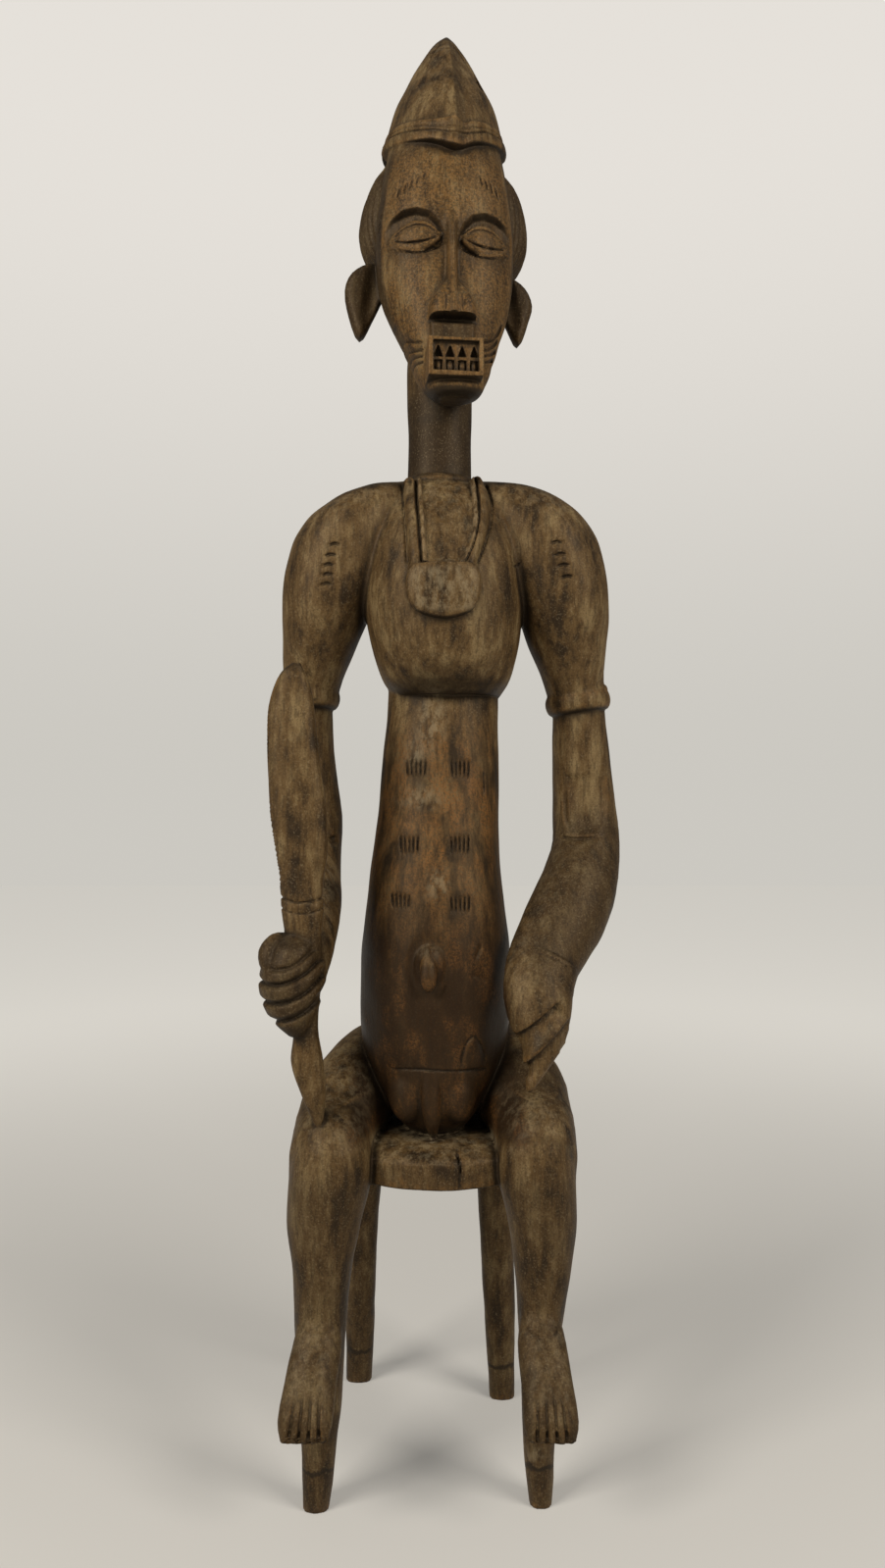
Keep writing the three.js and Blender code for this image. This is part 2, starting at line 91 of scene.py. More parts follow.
SEAT_RADIUS = 98
SEAT_CENTRE = (-4, -8)

# The finest grid step below the head, the steps in a block, the cap on distances and the mesh's triangles.
BODY_STEP = 1.15
BLOCK = 4
FAR = 20.0
TRIANGLES = 196000


# Runs of values through stations

def through(values, steps=12):
    """A centripetal Catmull-Rom run through rows of values, with that many steps to a station."""
    rows = np.asarray(values, float)
    first = 2 * rows[0] - rows[1]
    last = 2 * rows[-1] - rows[-2]
    rows = np.vstack([first, rows, last])
    knots = np.maximum(np.linalg.norm(np.diff(rows, axis=0), axis=1) ** 0.5, 1e-4)
    share = np.linspace(0, 1, steps, endpoint=False)[:, None]
    run = []
    for i in range(1, len(rows) - 2):
        a, b, c, d = rows[i - 1:i + 3]
        before, here, after = knots[i - 1:i + 2]
        start = ((b - a) / before - (c - a) / (before + here) + (c - b) / here) * here
        end = ((c - b) / here - (d - b) / (here + after) + (d - c) / after) * here
        curve = b + start * share
        curve = curve + (3 * (c - b) - 2 * start - end) * share ** 2
        curve = curve + (2 * (b - c) + start + end) * share ** 3
        run.append(curve)
    run.append(rows[-2:-1])
    return np.vstack(run)


# Forms: signed distances in millimetres, negative inside

class Form:
    """A field and the box that its solid lies in. Outside the box it only says that it is far."""

    def __init__(self, field, low, high):
        self.field = field
        self.low = np.asarray(low, float)
        self.high = np.asarray(high, float)

    def __call__(self, p):
        out = np.full(p.shape[1], FAR, np.float32)
        near = np.ones(p.shape[1], bool)
        for axis in range(3):
            near &= p[axis] > self.low[axis] - FAR
            near &= p[axis] < self.high[axis] + FAR
        near = np.flatnonzero(near)
        if near.size:
            out[near] = np.minimum(self.field(p[:, near]), FAR)
        return out


def least(a, b, soft):
    """The smaller of two fields, with the crease between them rounded over a width."""
    if soft <= 0:
        return np.minimum(a, b)
    meet = np.maximum(soft - np.abs(a - b), 0) / soft
    return np.minimum(a, b) - meet * meet * soft / 4


def most(a, b, soft):
    """The larger of two fields, with the edge between them rounded over a width."""
    return -least(-a, -b, soft)


def join(forms, soft=0.0):
    """Several forms as one."""
    def field(p):
        out = forms[0](p)
        for form in forms[1:]:
            out = least(out, form(p), soft)
        return out
    low = np.min([form.low for form in forms], axis=0)
    high = np.max([form.high for form in forms], axis=0)
    return Form(field, low, high)


def cut(form, cutters, soft=0.0):
    """A form with others cut out of it."""
    def field(p):
        out = form(p)
        for cutter in cutters:
            out = most(out, -cutter(p), soft)
        return out
    return Form(field, form.low, form.high)


def both(a, b, soft=0.0):
    """What two forms share."""
    low = np.maximum(a.low, b.low)
    high = np.minimum(a.high, b.high)
    return Form(lambda p: most(a(p), b(p), soft), low, high)


def turned(form, angle, reach):
    """A form turned about the upright axis, within a box that reaches that far to each side."""
    cosine = math.cos(angle)
    sine = math.sin(angle)

    def field(p):
        x = p[0] * cosine + p[1] * sine
        y = p[1] * cosine - p[0] * sine
        return form(np.stack([x, y, p[2]]))
    return Form(field, (-reach, -reach, form.low[2]), (reach, reach, form.high[2]))


def column(stations, power=2.15, keel=None):
    """Level sections from the top station down: z, left, right, front, back.

    Power 2 is an ellipse, more is squarer, and keel is the power of the front half.
    """
    z, left, right, front, back = np.asarray(stations, float).T
    wide = through(np.stack([(left + right) / 2, (right - left) / 2, z], 1))[::-1]
    deep = through(np.stack([(front + back) / 2, (back - front) / 2], 1))[::-1]
    bottom = wide[0, 2]
    top = wide[-1, 2]
    heights = np.linspace(bottom, top, int(top - bottom) + 2)
    rows = [np.interp(heights, wide[:, 2], v) for v in (wide[:, 0], wide[:, 1], deep[:, 0], deep[:, 1])]
    table = np.stack(rows)
    table = np.vstack([table, np.gradient(table, heights, axis=1)]).astype(np.float32)
    scale = (len(heights) - 1) / (top - bottom)

    def field(p):
        x, y, z = p
        at = np.clip((z - bottom) * scale, 0, len(heights) - 1.001)
        index = at.astype(np.int32)
        share = at - index
        m, h, n, k, dm, dh, dn, dk = table[:, index] * (1 - share) + table[:, index + 1] * share
        u = (x - m) / h
        v = (y - n) / k
        bend = power if keel is None else np.where(v < 0, np.float32(keel), np.float32(power))
        size_u = np.abs(u) + 1e-4
        size_v = np.abs(v) + 1e-4
        near_u = size_u ** (bend - 1)
        near_v = size_v ** (bend - 1)
        total = near_u * size_u + near_v * size_v
        radius = total ** (1 / bend)
        share = radius / total
        along_u = np.sign(u) * near_u * share / h
        along_v = np.sign(v) * near_v * share / k
        along_z = along_u * (dm + u * dh) + along_v * (dn + v * dk)
        steep = np.sqrt(along_u ** 2 + along_v ** 2 + along_z ** 2)
        side = (radius - 1) / np.maximum(steep, 1e-3)
        return np.maximum(side, np.maximum(z - top, bottom - z))

    low = (np.min(table[0] - table[1]), np.min(table[2] - table[3]), bottom)
    high = (np.max(table[0] + table[1]), np.max(table[2] + table[3]), top)
    return Form(field, low, high)


def limb(stations, end=3.0):
    """Sections square to a path, from the top station down: x, y, z, half width, half depth."""
    rows = np.asarray(stations, float)
    path = through(rows[:, :3], 3)
    size = through(rows[:, 3:5], 3)
    back = -np.gradient(path, axis=0)
    back /= np.linalg.norm(back, axis=1)[:, None]
    side = np.cross((0.0, -1.0, 0.0), back)
    side /= np.linalg.norm(side, axis=1)[:, None]
    side *= np.where(side[:, :1] < 0, -1, 1)
    front = np.cross(side, back)
    frames = np.hstack([path, side, front, back, size]).astype(np.float32)

    def field(p):
        best = np.full(p.shape[1], np.inf, np.float32)
        at = np.zeros(p.shape[1], np.float32)
        for i in range(len(path) - 1):
            start = path[i].astype(np.float32)
            way = (path[i + 1] - path[i]).astype(np.float32)
            rel = p - start[:, None]
            share = np.clip((way @ rel) / (way @ way), 0, 1)
            off = rel - way[:, None] * share
            gap = (off * off).sum(0)
            closer = gap < best
            best = np.where(closer, gap, best)
            at = np.where(closer, i + share, at)
        index = np.minimum(at.astype(np.int32), len(path) - 2)
        share = (at - index)[:, None]
        row = (frames[index] * (1 - share) + frames[index + 1] * share).T
        rel = p - row[0:3]
        across = (rel * row[3:6]).sum(0)
        forward = (rel * row[6:9]).sum(0)
        along = np.abs((rel * row[9:12]).sum(0))
        wide = row[12]
        deep = row[13]
        near = np.sqrt((across / wide) ** 2 + (forward / deep) ** 2) + 1e-4
        steep = np.sqrt((across / wide ** 2) ** 2 + (forward / deep ** 2) ** 2) + 1e-4 / wide
        out = near * (near - 1) / steep
        at_end = (at < 1e-3) | (at > len(path) - 1.001)
        return most(out, np.where(at_end, along - 1.5, -FAR), end)

    reach = size.max()
    return Form(field, path.min(0) - reach, path.max(0) + reach)


def egg(centre, half, tip=0.0):
    """An egg shape tipped about X, in degrees."""
    tip = math.radians(tip)
    middle = np.asarray(centre, np.float32)[:, None]
    sizes = np.asarray(half, np.float32)[:, None]

    def field(p):
        x, y, z = p - middle
        y, z = y * math.cos(tip) + z * math.sin(tip), z * math.cos(tip) - y * math.sin(tip)
        q = np.stack([x, y, z])
        near = np.sqrt(((q / sizes) ** 2).sum(0)) + 1e-4
        steep = np.sqrt(((q / sizes ** 2) ** 2).sum(0)) + 1e-4 / sizes.max()
        return near * (near - 1) / steep

    reach = max(half)
    return Form(field, np.asarray(centre) - reach, np.asarray(centre) + reach)


def box_round(points, spare, front, back):
    """Two corners of a box round points of (x, z), with room beside them, between two depths."""
    low = (points[:, 0].min() - spare, front, points[:, 1].min() - spare)
    high = (points[:, 0].max() + spare, back, points[:, 1].max() + spare)
    return low, high


def outline_distance(x, z, outline):
    """Signed distance in the front view to a closed outline, negative inside."""
    corners = np.asarray(outline, np.float32)
    best = np.full(x.shape, np.inf, np.float32)
    inside = np.zeros(x.shape, bool)
    for start, end in zip(corners, np.roll(corners, -1, axis=0)):
        way = end - start
        rel_x = x - start[0]
        rel_z = z - start[1]
        share = np.clip((rel_x * way[0] + rel_z * way[1]) / (way @ way), 0, 1)
        best = np.minimum(best, (rel_x - way[0] * share) ** 2 + (rel_z - way[1] * share) ** 2)
        spans = (start[1] > z) != (end[1] > z)
        if abs(way[1]) > 1e-6:
            inside ^= spans & (x < start[0] + way[0] * (z - start[1]) / way[1])
    return np.where(inside, -1, 1) * np.sqrt(best)


def slab(outline, front, back, edge=0.5):
    """An outline seen from the front, pushed from one depth to another, with rounded edges."""
    corners = np.asarray(outline, float)

    def field(p):
        flat = outline_distance(p[0], p[2], corners) + edge
        deep = np.abs(p[1] - (front + back) / 2) - (back - front) / 2 + edge
        outside = np.hypot(np.maximum(flat, 0), np.maximum(deep, 0))
        return outside + np.minimum(np.maximum(flat, deep), 0) - edge

    return Form(field, *box_round(corners, 0, front, back))


def tube(route, radius):
    """A round cord through points."""
    path = through(route, 4)

    def field(p):
        best = np.full(p.shape[1], np.inf, np.float32)
        for start, end in zip(path[:-1], path[1:]):
            way = (end - start).astype(np.float32)
            rel = p - start.astype(np.float32)[:, None]
            share = np.clip((way @ rel) / (way @ way), 0, 1)
            off = rel - way[:, None] * share
            best = np.minimum(best, (off * off).sum(0))
        return np.sqrt(best) - radius

    return Form(field, path.min(0) - radius, path.max(0) + radius)


def ring(centre, half, proud, tall, tilt):
    """A ring round an upright limb: its half sizes outside, how proud it is, half its height."""
    tilt = math.radians(tilt)

    def field(p):
        x = p[0] - centre[0]
        y = (p[1] - centre[1]) * half[0] / half[1]
        z = p[2] - centre[2]
        x, z = x * math.cos(tilt) - z * math.sin(tilt), x * math.sin(tilt) + z * math.cos(tilt)
        around = np.hypot(x, y) - (half[0] - proud)
        return proud * (np.hypot(around / proud, z / tall) - 1)

    reach = np.array([half[0], half[1], tall + 6])
    return Form(field, np.asarray(centre) - reach, np.asarray(centre) + reach)


# Relief: shallow changes to the finished surface, seen from the front

def smooth(value):
    """From 0 to 1 as the value does, level at both ends."""
    value = np.clip(value, 0, 1)
    return value * value * (3 - 2 * value)


def within(value, low, high, rise, fall):
    """One between two values and nothing beyond them, with a smooth rise and fall inside."""
    return smooth((value - low) / rise) * smooth((high - value) / fall)


def line_distance(x, z, route):
    """Distance in the front view to a line through points, and how far along it, from 0 to 1."""
    best = np.full(x.shape, np.inf, np.float32)
    along = np.zeros(x.shape, np.float32)
    count = len(route) - 1
    for i, (start, end) in enumerate(zip(route[:-1], route[1:])):
        way = end - start
        rel_x = x - start[0]
        rel_z = z - start[1]
        share = np.clip((rel_x * way[0] + rel_z * way[1]) / (way @ way), 0, 1)
        gap = (rel_x - way[0] * share) ** 2 + (rel_z - way[1] * share) ** 2
        closer = gap < best
        best = np.where(closer, gap, best)
        along = np.where(closer, (i + share) / count, along)
    return np.sqrt(best), along


class Relief:
    """A change to the field within a box."""

    def __init__(self, change, low, high):
        self.change = change
        self.low = low
        self.high = high

    def apply(self, p, out):
        near = np.abs(out) < FAR / 2
        for axis in range(3):
            near &= p[axis] > self.low[axis]
            near &= p[axis] < self.high[axis]
        near = np.flatnonzero(near)
        if near.size:
            out[near] = self.change(p[:, near], out[near])


def groove(route, wide, deep, front=-200.0, back=0.0, taper=0.0):
    """A groove along a line of (x, z) points, cut into what faces the front between two depths.

    With taper the groove grows from nothing over that share of its length at each end.
    """
    points = np.asarray(route, float)
    path = through(points, 5) if len(points) > 2 else points

    def change(p, out):
        gap, along = line_distance(p[0], p[2], path)
        shape = 1 - smooth(gap / (wide / 2))
        if taper:
            shape = shape * smooth(np.minimum(along, 1 - along) / taper)
        return out + deep * shape

    return Relief(change, *box_round(path, wide, front, back))


def ridge(route, wide, high, front=-200.0, back=0.0):
    """A half-round strap along a line of (x, z) points."""
    path = through(route, 5)

    def change(p, out):
        gap = line_distance(p[0], p[2], path)[0]
        return out - high * np.sqrt(np.clip(1 - (gap / (wide / 2)) ** 2, 0, 1))

    return Relief(change, *box_round(path, wide, front, back))


def raised(outline, high_by, edge, front=-200.0, back=0.0):
    """A low flat area that stands proud of the surface, or sunk where high_by is negative."""
    corners = np.asarray(outline, float)

    def change(p, out):
        flat = outline_distance(p[0], p[2], corners)
        return out - high_by * (1 - smooth((flat + edge) / edge))

    return Relief(change, *box_round(corners, 1, front, back))


def carve(form, reliefs):
    """A form with reliefs applied to it."""
    def field(p):
        out = form(p)
        for relief in reliefs:
            relief.apply(p, out)
        return out
    return Form(field, form.low, form.high)


def on_side(points, side):
    """Points of (x, z) given for the viewer's right, or their mirror image where side is -1."""
    return [(side * x, z) for x, z in points]


def box_outline(left, right, bottom, top):
    """The four corners of an upright box seen from the front."""
    return [(left, bottom), (right, bottom), (right, top), (left, top)]


# Head, in a frame that turns with it

# Heights of the hat band's lower edge, the groove along it and its upper edge, at distances across.
BAND_ACROSS = (-60, -55, -50, -40, -29, -17, -9, -3, 3, 10, 18, 24, 33, 42, 48, 54, 60)
BAND_LOWER = (
    1191, 1186, 1181, 1176.5, 1173.5, 1171, 1168, 1165, 1163,
    1165, 1169.5, 1172.5, 1176, 1179.5, 1182, 1186, 1191,
)
BAND_GROOVE = (
    1198, 1194, 1191, 1187, 1182.5, 1179, 1176.5, 1174.5, 1174,
    1175.5, 1178, 1181, 1186, 1189, 1192, 1195, 1198,
)
BAND_UPPER = (
    1207, 1203.5, 1200.5, 1197, 1192.5, 1189, 1187, 1185.5, 1185,
    1186, 1189, 1191.5, 1195.5, 1199, 1202, 1204.5, 1207,
)


def hat():
    """A pointed cone with a keel down its front, and a banded brim."""
    proud = 3
    lowest = BRIM_POINT - 4
    cone = column([
        [TOP, 1, 6, -3, 3],
        [TOP - 8, -8, 13, -11, 9],
        [1271, -22, 26, -27, 25],
        [1249, -34, 37, -41, 38],
        [1228, -44, 48, -53, 49],
        [1206, -51, 54, -62, 57],
        [1190, -54, 56, -66, 61],
        [lowest, -56, 58, -70, 64],
    ], keel=1.75)
    band = column([
        [1216, -47 - proud, 50 + proud, -58 - proud, 53 + proud],
        [1190, -54 - proud, 56 + proud, -66 - proud, 61 + proud],
        [lowest, -56 - proud, 58 + proud, -70 - proud, 64 + proud],
    ], keel=1.75)
    keel_at = 2.5

    def field(p):
        across = np.where(p[1] > 0, 60, p[0])
        lower = np.interp(across, BAND_ACROSS, BAND_LOWER).astype(np.float32)
        middle = np.interp(across, BAND_ACROSS, BAND_GROOVE).astype(np.float32)
        upper = np.interp(across, BAND_ACROSS, BAND_UPPER).astype(np.float32)
        out = cone(p)
        line = 2.6 * (1 - smooth(np.abs(p[2] - middle) / 2.2))
        line = line + 1.2 * (1 - smooth(np.abs(p[2] - upper + 5.5) / 1.6))
        step = 0.9 * smooth((p[2] - middle) / 2.0)
        brim = most(band(p) + line + step, (p[2] - upper) * 0.8, 1.5)
        out = least(out, brim, 0.8)
        edge = 4.0 * np.exp(-np.abs(p[0] - keel_at) / 10)
        edge = (edge - 1.6 * np.exp(-((p[0] - keel_at - 9) / 5) ** 2)) * smooth((TOP - 4 - p[2]) / 30)
        out = np.where(p[1] < 0, out - edge, out)
        return most(out, (lower - p[2]) * 0.85, 2.0)
    return Form(field, band.low - (0, 0, 5), (cone.high[0] + proud, cone.high[1] + proud, TOP))


def face():
    """A long mask, widest at the eyes, with the jaw carried forward over the neck."""
    return column([
        [1196, -48, 48, -48, 40],
        [1180, -52, 52, -57, 40],
        [1165, -54.5, 54.5, -63, 40],
        [1140, -58, 58, -68, 40],
        [1110, -62, 62, -70, 40],
        [1080, -62, 62, -70, 38],
        [1050, -58, 59, -71, 30],
        [1022, -48, 52, -74, 18],
        [1004, -41, 46, -78, 8],
        [988, -35, 41, -82, 0],
        [970, -27, 32, -84, -14],
        [956, -20, 24, -85, -30],
        [948, -13, 17, -85, -46],
        [CHIN, -6, 9, -80, -62],
    ], power=2.3)


def jaw():
    """A squarer lower face, and the rounded chin, carried forward below the mouth."""
    return column([
        [1030, -48, 52, -66, 10],
        [1004, -39.5, 44.5, -76.5, 4],
        [988, -33.5, 39.5, -80, -6],
        [970, -30, 35, -86, -20],
        [958, -25, 29.5, -91, -34],
        [951, -21, 26, -94.5, -44],
        [946, -16, 21, -92, -52],
        [CHIN, -9, 13, -80, -62],
    ], power=2.6)


def hair():
    """Hair behind the face, combed down in close furrows."""
    mass = column([
        [1196, -46, 50, -20, 54],
        [1182, -55, 58, -22, 60],
        [1166, -66, 73, -24, 65],
        [1127, -76, 83, -26, 73],
        [1102, -70, 78, -22, 71],
        [1082, -54, 62, -12, 64],
        [1050, -34, 42, 0, 52],
        [1010, -26, 32, -8, 40],
        [980, -26, 28, -16, 34],
    ], power=2.2)
    furrows = 74

    def field(p):
        out = mass(p)
        around = np.arctan2(p[0] - 3, p[1] - 22)
        return out + 0.55 * (1 - np.cos(around * furrows))
    return Form(field, mass.low, mass.high)


def eye_outline(side, drop):
    """The socket: a round arch over a flatter lower edge, from the outer corner over the top."""
    arch = [
        (59, 1088), (57.5, 1099), (52, 1107), (42, 1111.5),
        (29, 1112), (18, 1108), (9.5, 1099), (5.5, 1088),
    ]
    under = [(4.5, 1079), (12, 1074), (22, 1071), (34, 1072), (44, 1076), (53, 1082)]
    points = np.array(on_side(arch + under, side))
    points[:, 1] -= drop
    return points


def eyes(front):
    """Sinks both sockets into the front of the head and raises a closed eye with its lids in each."""
    def eye(side, drop):
        socket = eye_outline(side, drop)
        middle = side * EYE_AT
        level = EYE_SLIT + 1 - drop

        def line(across, up):
            """Points at both sides of the eye's middle and above its level."""
            return [(middle + x, level + z) for x, z in zip(across, up)]
        marks = [
            ridge(line((-20, 0, 20), (-1, -8.5, -1)), 8.0, 2.0),
            groove(line((-19, -10, 0, 10, 19), (5, 11, 12.5, 11, 5)), 4.4, 2.2, taper=0.1),
            groove(line((-18, -9, 9, 18), (2, -2, -2, 2)), 3.4, 2.4, taper=0.1),
        ]

        def change(p, out):
            flat = outline_distance(p[0], p[2], socket)
            inward = smooth((61 - np.abs(p[0])) / 24)
            depth = inward * (6.5 + 0.8 * smooth((p[2] - level + 8) / 18))
            x = (p[0] - middle) / EYE_HALF
            tall = np.maximum(EYE_TALL * (1 - 0.45 * x * x), 1)
            z = (p[2] - level - 3.5) / tall
            dome = 8.0 * np.clip(1 - x * x - z * z, 0, 1) ** 0.4 * inward
            out = out + depth * smooth((0.5 - flat) / 4.5) - dome
            for mark in marks:
                mark.apply(p, out)
            return out
        return Relief(change, *box_round(socket, 3, -90, -15))
    return carve(front, [eye(-1, 0.0), eye(1, 2.0)])


def nose():
    """A narrow ridge from the brows that flares to a block with a flat underside."""
    root = -40
    ridge_form = column([
        [1124, -12, 12, -62, root],
        [1112, -10, 10, -69, root],
        [1100, -7.5, 7.5, -74, root],
        [1086, -5.4, 5.4, -77.5, root],
        [1056, -5.4, 5.4, -81, root],
        [1036, -6.2, 6.2, -88, root],
        [NOSE_TIP, -6.5, 6.5, -95, root],
    ], power=2.3)
    wings = column([
        [1047, -5.5, 5.5, -76, root],
        [1037, -12.5, 12.5, -84, root],
        [1027, -19, 19, -89.5, root],
        [NOSE_TIP, -20.5, 20.5, -92, root],
    ], power=4.5)
    return join([ridge_form, wings], 2.0)


def mouth():
    """A box that juts out of the jaw below a flat lip, with a raised rim and two rows of teeth."""
    wide = 23
    front = -102
    rim = 3.2
    panel = front + 4.5
    box = slab(box_outline(-wide, wide, MOUTH_BOTTOM, MOUTH_TOP), front, front + 44, edge=1.0)
    inside = box_outline(-wide + rim, wide - rim, MOUTH_BOTTOM + rim, MOUTH_TOP - rim + 0.6)
    cutters = [slab(inside, front - 5, panel, edge=0.3)]
    bite = MOUTH_TOP - 16.5
    gap = 10.2
    teeth = [-14.8 + i * gap for i in range(4)]
    for middle in teeth:
        foot_of_gap = [(middle - 4.6, bite + 0.6), (middle + 4.6, bite + 0.6)]
        point_of_gap = [(middle + 0.8, bite + 10.5), (middle - 0.8, bite + 10.5)]
        cutters.append(slab(foot_of_gap + point_of_gap, front - 2, panel + 6, edge=0.4))
        pocket = box_outline(middle - 4.1, middle + 4.1, bite - 10.5, bite - 1.4)
        cutters.append(slab(pocket, front - 2, panel + 3, edge=0.8))
    lip = slab(box_outline(-19, 19, MOUTH_TOP - 6, NOSE_TIP - 4), -81.5, -58, edge=3.0)
    whole = cut(box, cutters, 0.3)
    lower_teeth = [egg((middle, panel + 3, bite - 6.5), (2.6, 2.6, 4.4)) for middle in teeth]
    return join([whole, lip, *lower_teeth], 0.6)


def ear(side):
    """A leaf that stands off the side of the head and points down, hollowed along its inner half."""
    shift = -3
    wide = 87 if side < 0 else 86
    top = 1087 if side < 0 else 1080
    leaf = through([
        (shift + side * 50, top - 2),
        (shift + side * 66, top),
        (shift + side * (wide - 6.5), top - 9),
        (shift + side * wide, top - 25),
        (shift + side * (wide - 3.5), 1040),
        (shift + side * (wide - 13.5), 1018),
        (shift + side * 63, 1034),
        (shift + side * 50, 1060),
    ], 3)
    body = slab(leaf, -11, 8, edge=7.5)
    hollow = tube([
        (shift + side * 58, -18, 1086),
        (shift + side * 61, -16, 1062),
        (shift + side * 66, -17, 1036),
    ], 9.5)
    return cut(body, [hollow], 3.0)


def face_relief():
    """Scars on the forehead, furrows on the jaw, and small marks."""
    marks = []
    for i in range(5):
        x = -46 + 5.2 * i
        z = 1123 + 2.4 * i
        marks.append(groove([(x, z), (x + 3.5, z + 12)], 2.8, 1.5, back=-30, taper=0.3))
    for i in range(4):
        x = 24.5 + 4.8 * i
        z = 1145 - 1.8 * i
        marks.append(groove([(x, z), (x + 3.5, z - 13.5)], 2.8, 1.5, back=-30, taper=0.3))
    furrows = [
        [(23, 992), (31, 995.5), (38, 1002), (43, 1010), (47, 1020)],
        [(23, 985.5), (30, 988), (36, 993.5), (43, 1005)],
        [(23, 979.5), (30, 983), (36, 988), (41, 995)],
        [(23, 974), (29, 976.5), (34, 980.5), (38, 986)],
    ]
    for side in (-1, 1):
        for line in furrows:
            marks.append(groove(on_side(line, side), 3.8, 2.2, back=15, taper=0.12))
        marks.append(groove([(side * 7.4, NOSE_TIP - 1), (side * 6.6, 1031)], 2.6, 1.2, back=-70, taper=0.25))
    for x, z in ((-59, 1115), (-60, 1110), (-60.5, 1105)):
        marks.append(groove([(x, z), (x + 1, z + 2.5)], 2.2, 1.0, back=10))
    return marks


def hat_relief():
    """The edge of the cap near the tip, and the nick on the right."""
    return [
        groove([(1, 1290), (-9, 1276), (-15, 1262), (-20, 1243)], 2.6, 0.9, back=0, taper=0.2),
        groove([(3, 1290), (11, 1278), (18, 1264), (24, 1250)], 2.6, 0.9, back=0, taper=0.2),
        groove([(27, 1257), (30, 1248), (33.5, 1236)], 5.5, 3.0, back=0, taper=0.3),
        groove([(24, 1256), (28, 1244), (31, 1234)], 2.0, 1.2, back=0, taper=0.3),
    ]


def head():
    """Hat, hair, face and ears, turned a little to the viewer's right on the neck."""
    under_nose = slab(box_outline(-19, 19, NOSE_TIP - 8, NOSE_TIP - 0.5), -100, -76, edge=3.0)
    front = eyes(join([cut(join([face(), jaw()], 2.0), [under_nose], 2.0), nose()], 2.5))
    front = carve(join([front, mouth()], 2.5), face_relief())
    whole = join([front, hair(), ear(-1), ear(1), carve(hat(), hat_relief())], 0.8)
    return turned(whole, HEAD_TURN, 112)


# Body

def neck():
    middle = -2.7
    half = 29
    return column([
        [1010, middle - half, middle + half, -26, 34],
        [985, middle - half - 1, middle + half + 1, -27, 34],
        [930, middle - half, middle + half, -26, 32],
        [870, middle - half - 1, middle + half + 1, -28, 33],
    ])


def chest():
    """A rounded mass that overhangs the waist."""
    return column([
        [SHOULDER_TOP, -32, 28, -30, 40],
        [876, -46, 46, -46, 52],
        [858, -58, 60, -62, 60],
        [830, -67, 70, -76, 64],
        [800, -70, 72, -85, 63],
        [770, -70, 72, -90, 60],
        [745, -66, 70, -90, 57],
        [722, -60, 66, -85, 53],
        [704, -53, 60, -74, 49],
        [692, -44, 52, -60, 43],
    ], power=2.2)


def trunk():
    """A long column that swells forward to the belly and closes on the seat."""
    return column([
        [740, -48, 50, -46, 46],
        [WAIST, -50, 51, -49, 44],
        [637, -54, 51, -58, 42],
        [588, -58, 51, -67, 42],
        [549, -64, 52, -76, 44],
        [510, -68, 55, -85, 48],
        [469, -72, 60, -92, 55],
        [430, -74, 61, -94, 62],
        [395, -74, 60, -92, 68],
        [358, -66, 52, -87, 70],
        [335, -56, 42, -82, 66],
        [316, -44, 30, -72, 56],
        [SEAT_TOP - 4, -30, 18, -56, 46],
    ], power=2.2)


def upper_arms():
    """Shoulder and upper arm down to the armband. Left is the viewer's left."""
    left = [
        [SHOULDER_TOP - 3, -58, -26, -14, 26],
        [883, -76, -26, -28, 38],
        [876, -94, -26, -37, 44],
        [866, -110, -26, -44, 49],
        [856, -122, -30, -50, 52],
        [837, -135.5, -36, -54, 55],
        [815, -143, -44, -55, 55],
        [790, -146.5, -55, -54, 53],
        [765, -146.5, -68, -50, 49],
        [740, -146, -79, -42, 43],
        [712, -146, -91, -32, 34],
        [684, -146, -100, -24, 31],
    ]
    right = [
        [SHOULDER_TOP - 3, 26, 62, -14, 26],
        [883, 26, 84, -28, 38],
        [876, 26, 102, -37, 44],
        [866, 26, 118, -44, 49],
        [856, 30, 129, -50, 52],
        [837, 38, 141.5, -54, 55],
        [815, 46, 148.5, -55, 55],
        [790, 58, 152, -54, 53],
        [765, 70, 152, -50, 49],
        [740, 79, 150, -42, 43],
        [712, 91, 148, -32, 34],
        [684, 100, 148, -24, 31],
    ]
    return [column(stations, power=2.2) for stations in (left, right)]


def armbands():
    """A fat ring round each arm, with a step along its upper edge."""
    sides = [((-123.5, 4, ARMBAND + 1), 28.5, 5), ((125, 4, ARMBAND - 4), 30, -8)]
    bands = []
    for centre, half, tilt in sides:
        bands.append(ring(centre, (half, 34), 6.0, 10.0, tilt))
        above = (centre[0], centre[1], centre[2] + 9)
        bands.append(ring(above, (half - 2.5, 31.5), 4.0, 4.5, tilt))
    return [join(bands[:2], 1.0), join(bands[2:], 1.0)]


def blade_arm():
    """The arm that holds the blade, from the armband to the fist."""
    return limb([
        [-122, 3, 712, 24, 28],
        [-125, 5, 680, 23, 26],
        [-124, 12, 625, 25, 28],
        [-121, 14, ELBOW + 22, 27, 30],
        [-119, -6, ELBOW - 22, 26, 28],
        [-115, -44, 505, 25, 26],
        [-114, -80, 474, 22, 24],
        [-118, -104, 452, 20, 22],
    ])


def resting_arm():
    """The arm that reaches down to the thigh, with its wrist."""
    return limb([
        [124, 3, 712, 24, 28],
        [126, 5, 680, 24, 27],
        [129, 10, 636, 27, 29],
        [132, 12, 590, 29, 31],
        [133, 6, ELBOW - 4, 31, 32],
        [123, -20, 522, 34.5, 31],
        [110, -40, 496, 36, 28],
        [96.5, -58, 474, 34, 24],
        [85, -74, 455, 31.5, 20],
        [81, -86, 438, 28, 17],
    ])


# Where the hand steps down to the next finger, from the outer end to the fingertip.
HAND_STEPS = [((96, 432), (61, 404)), ((105, 417), (69, 382))]


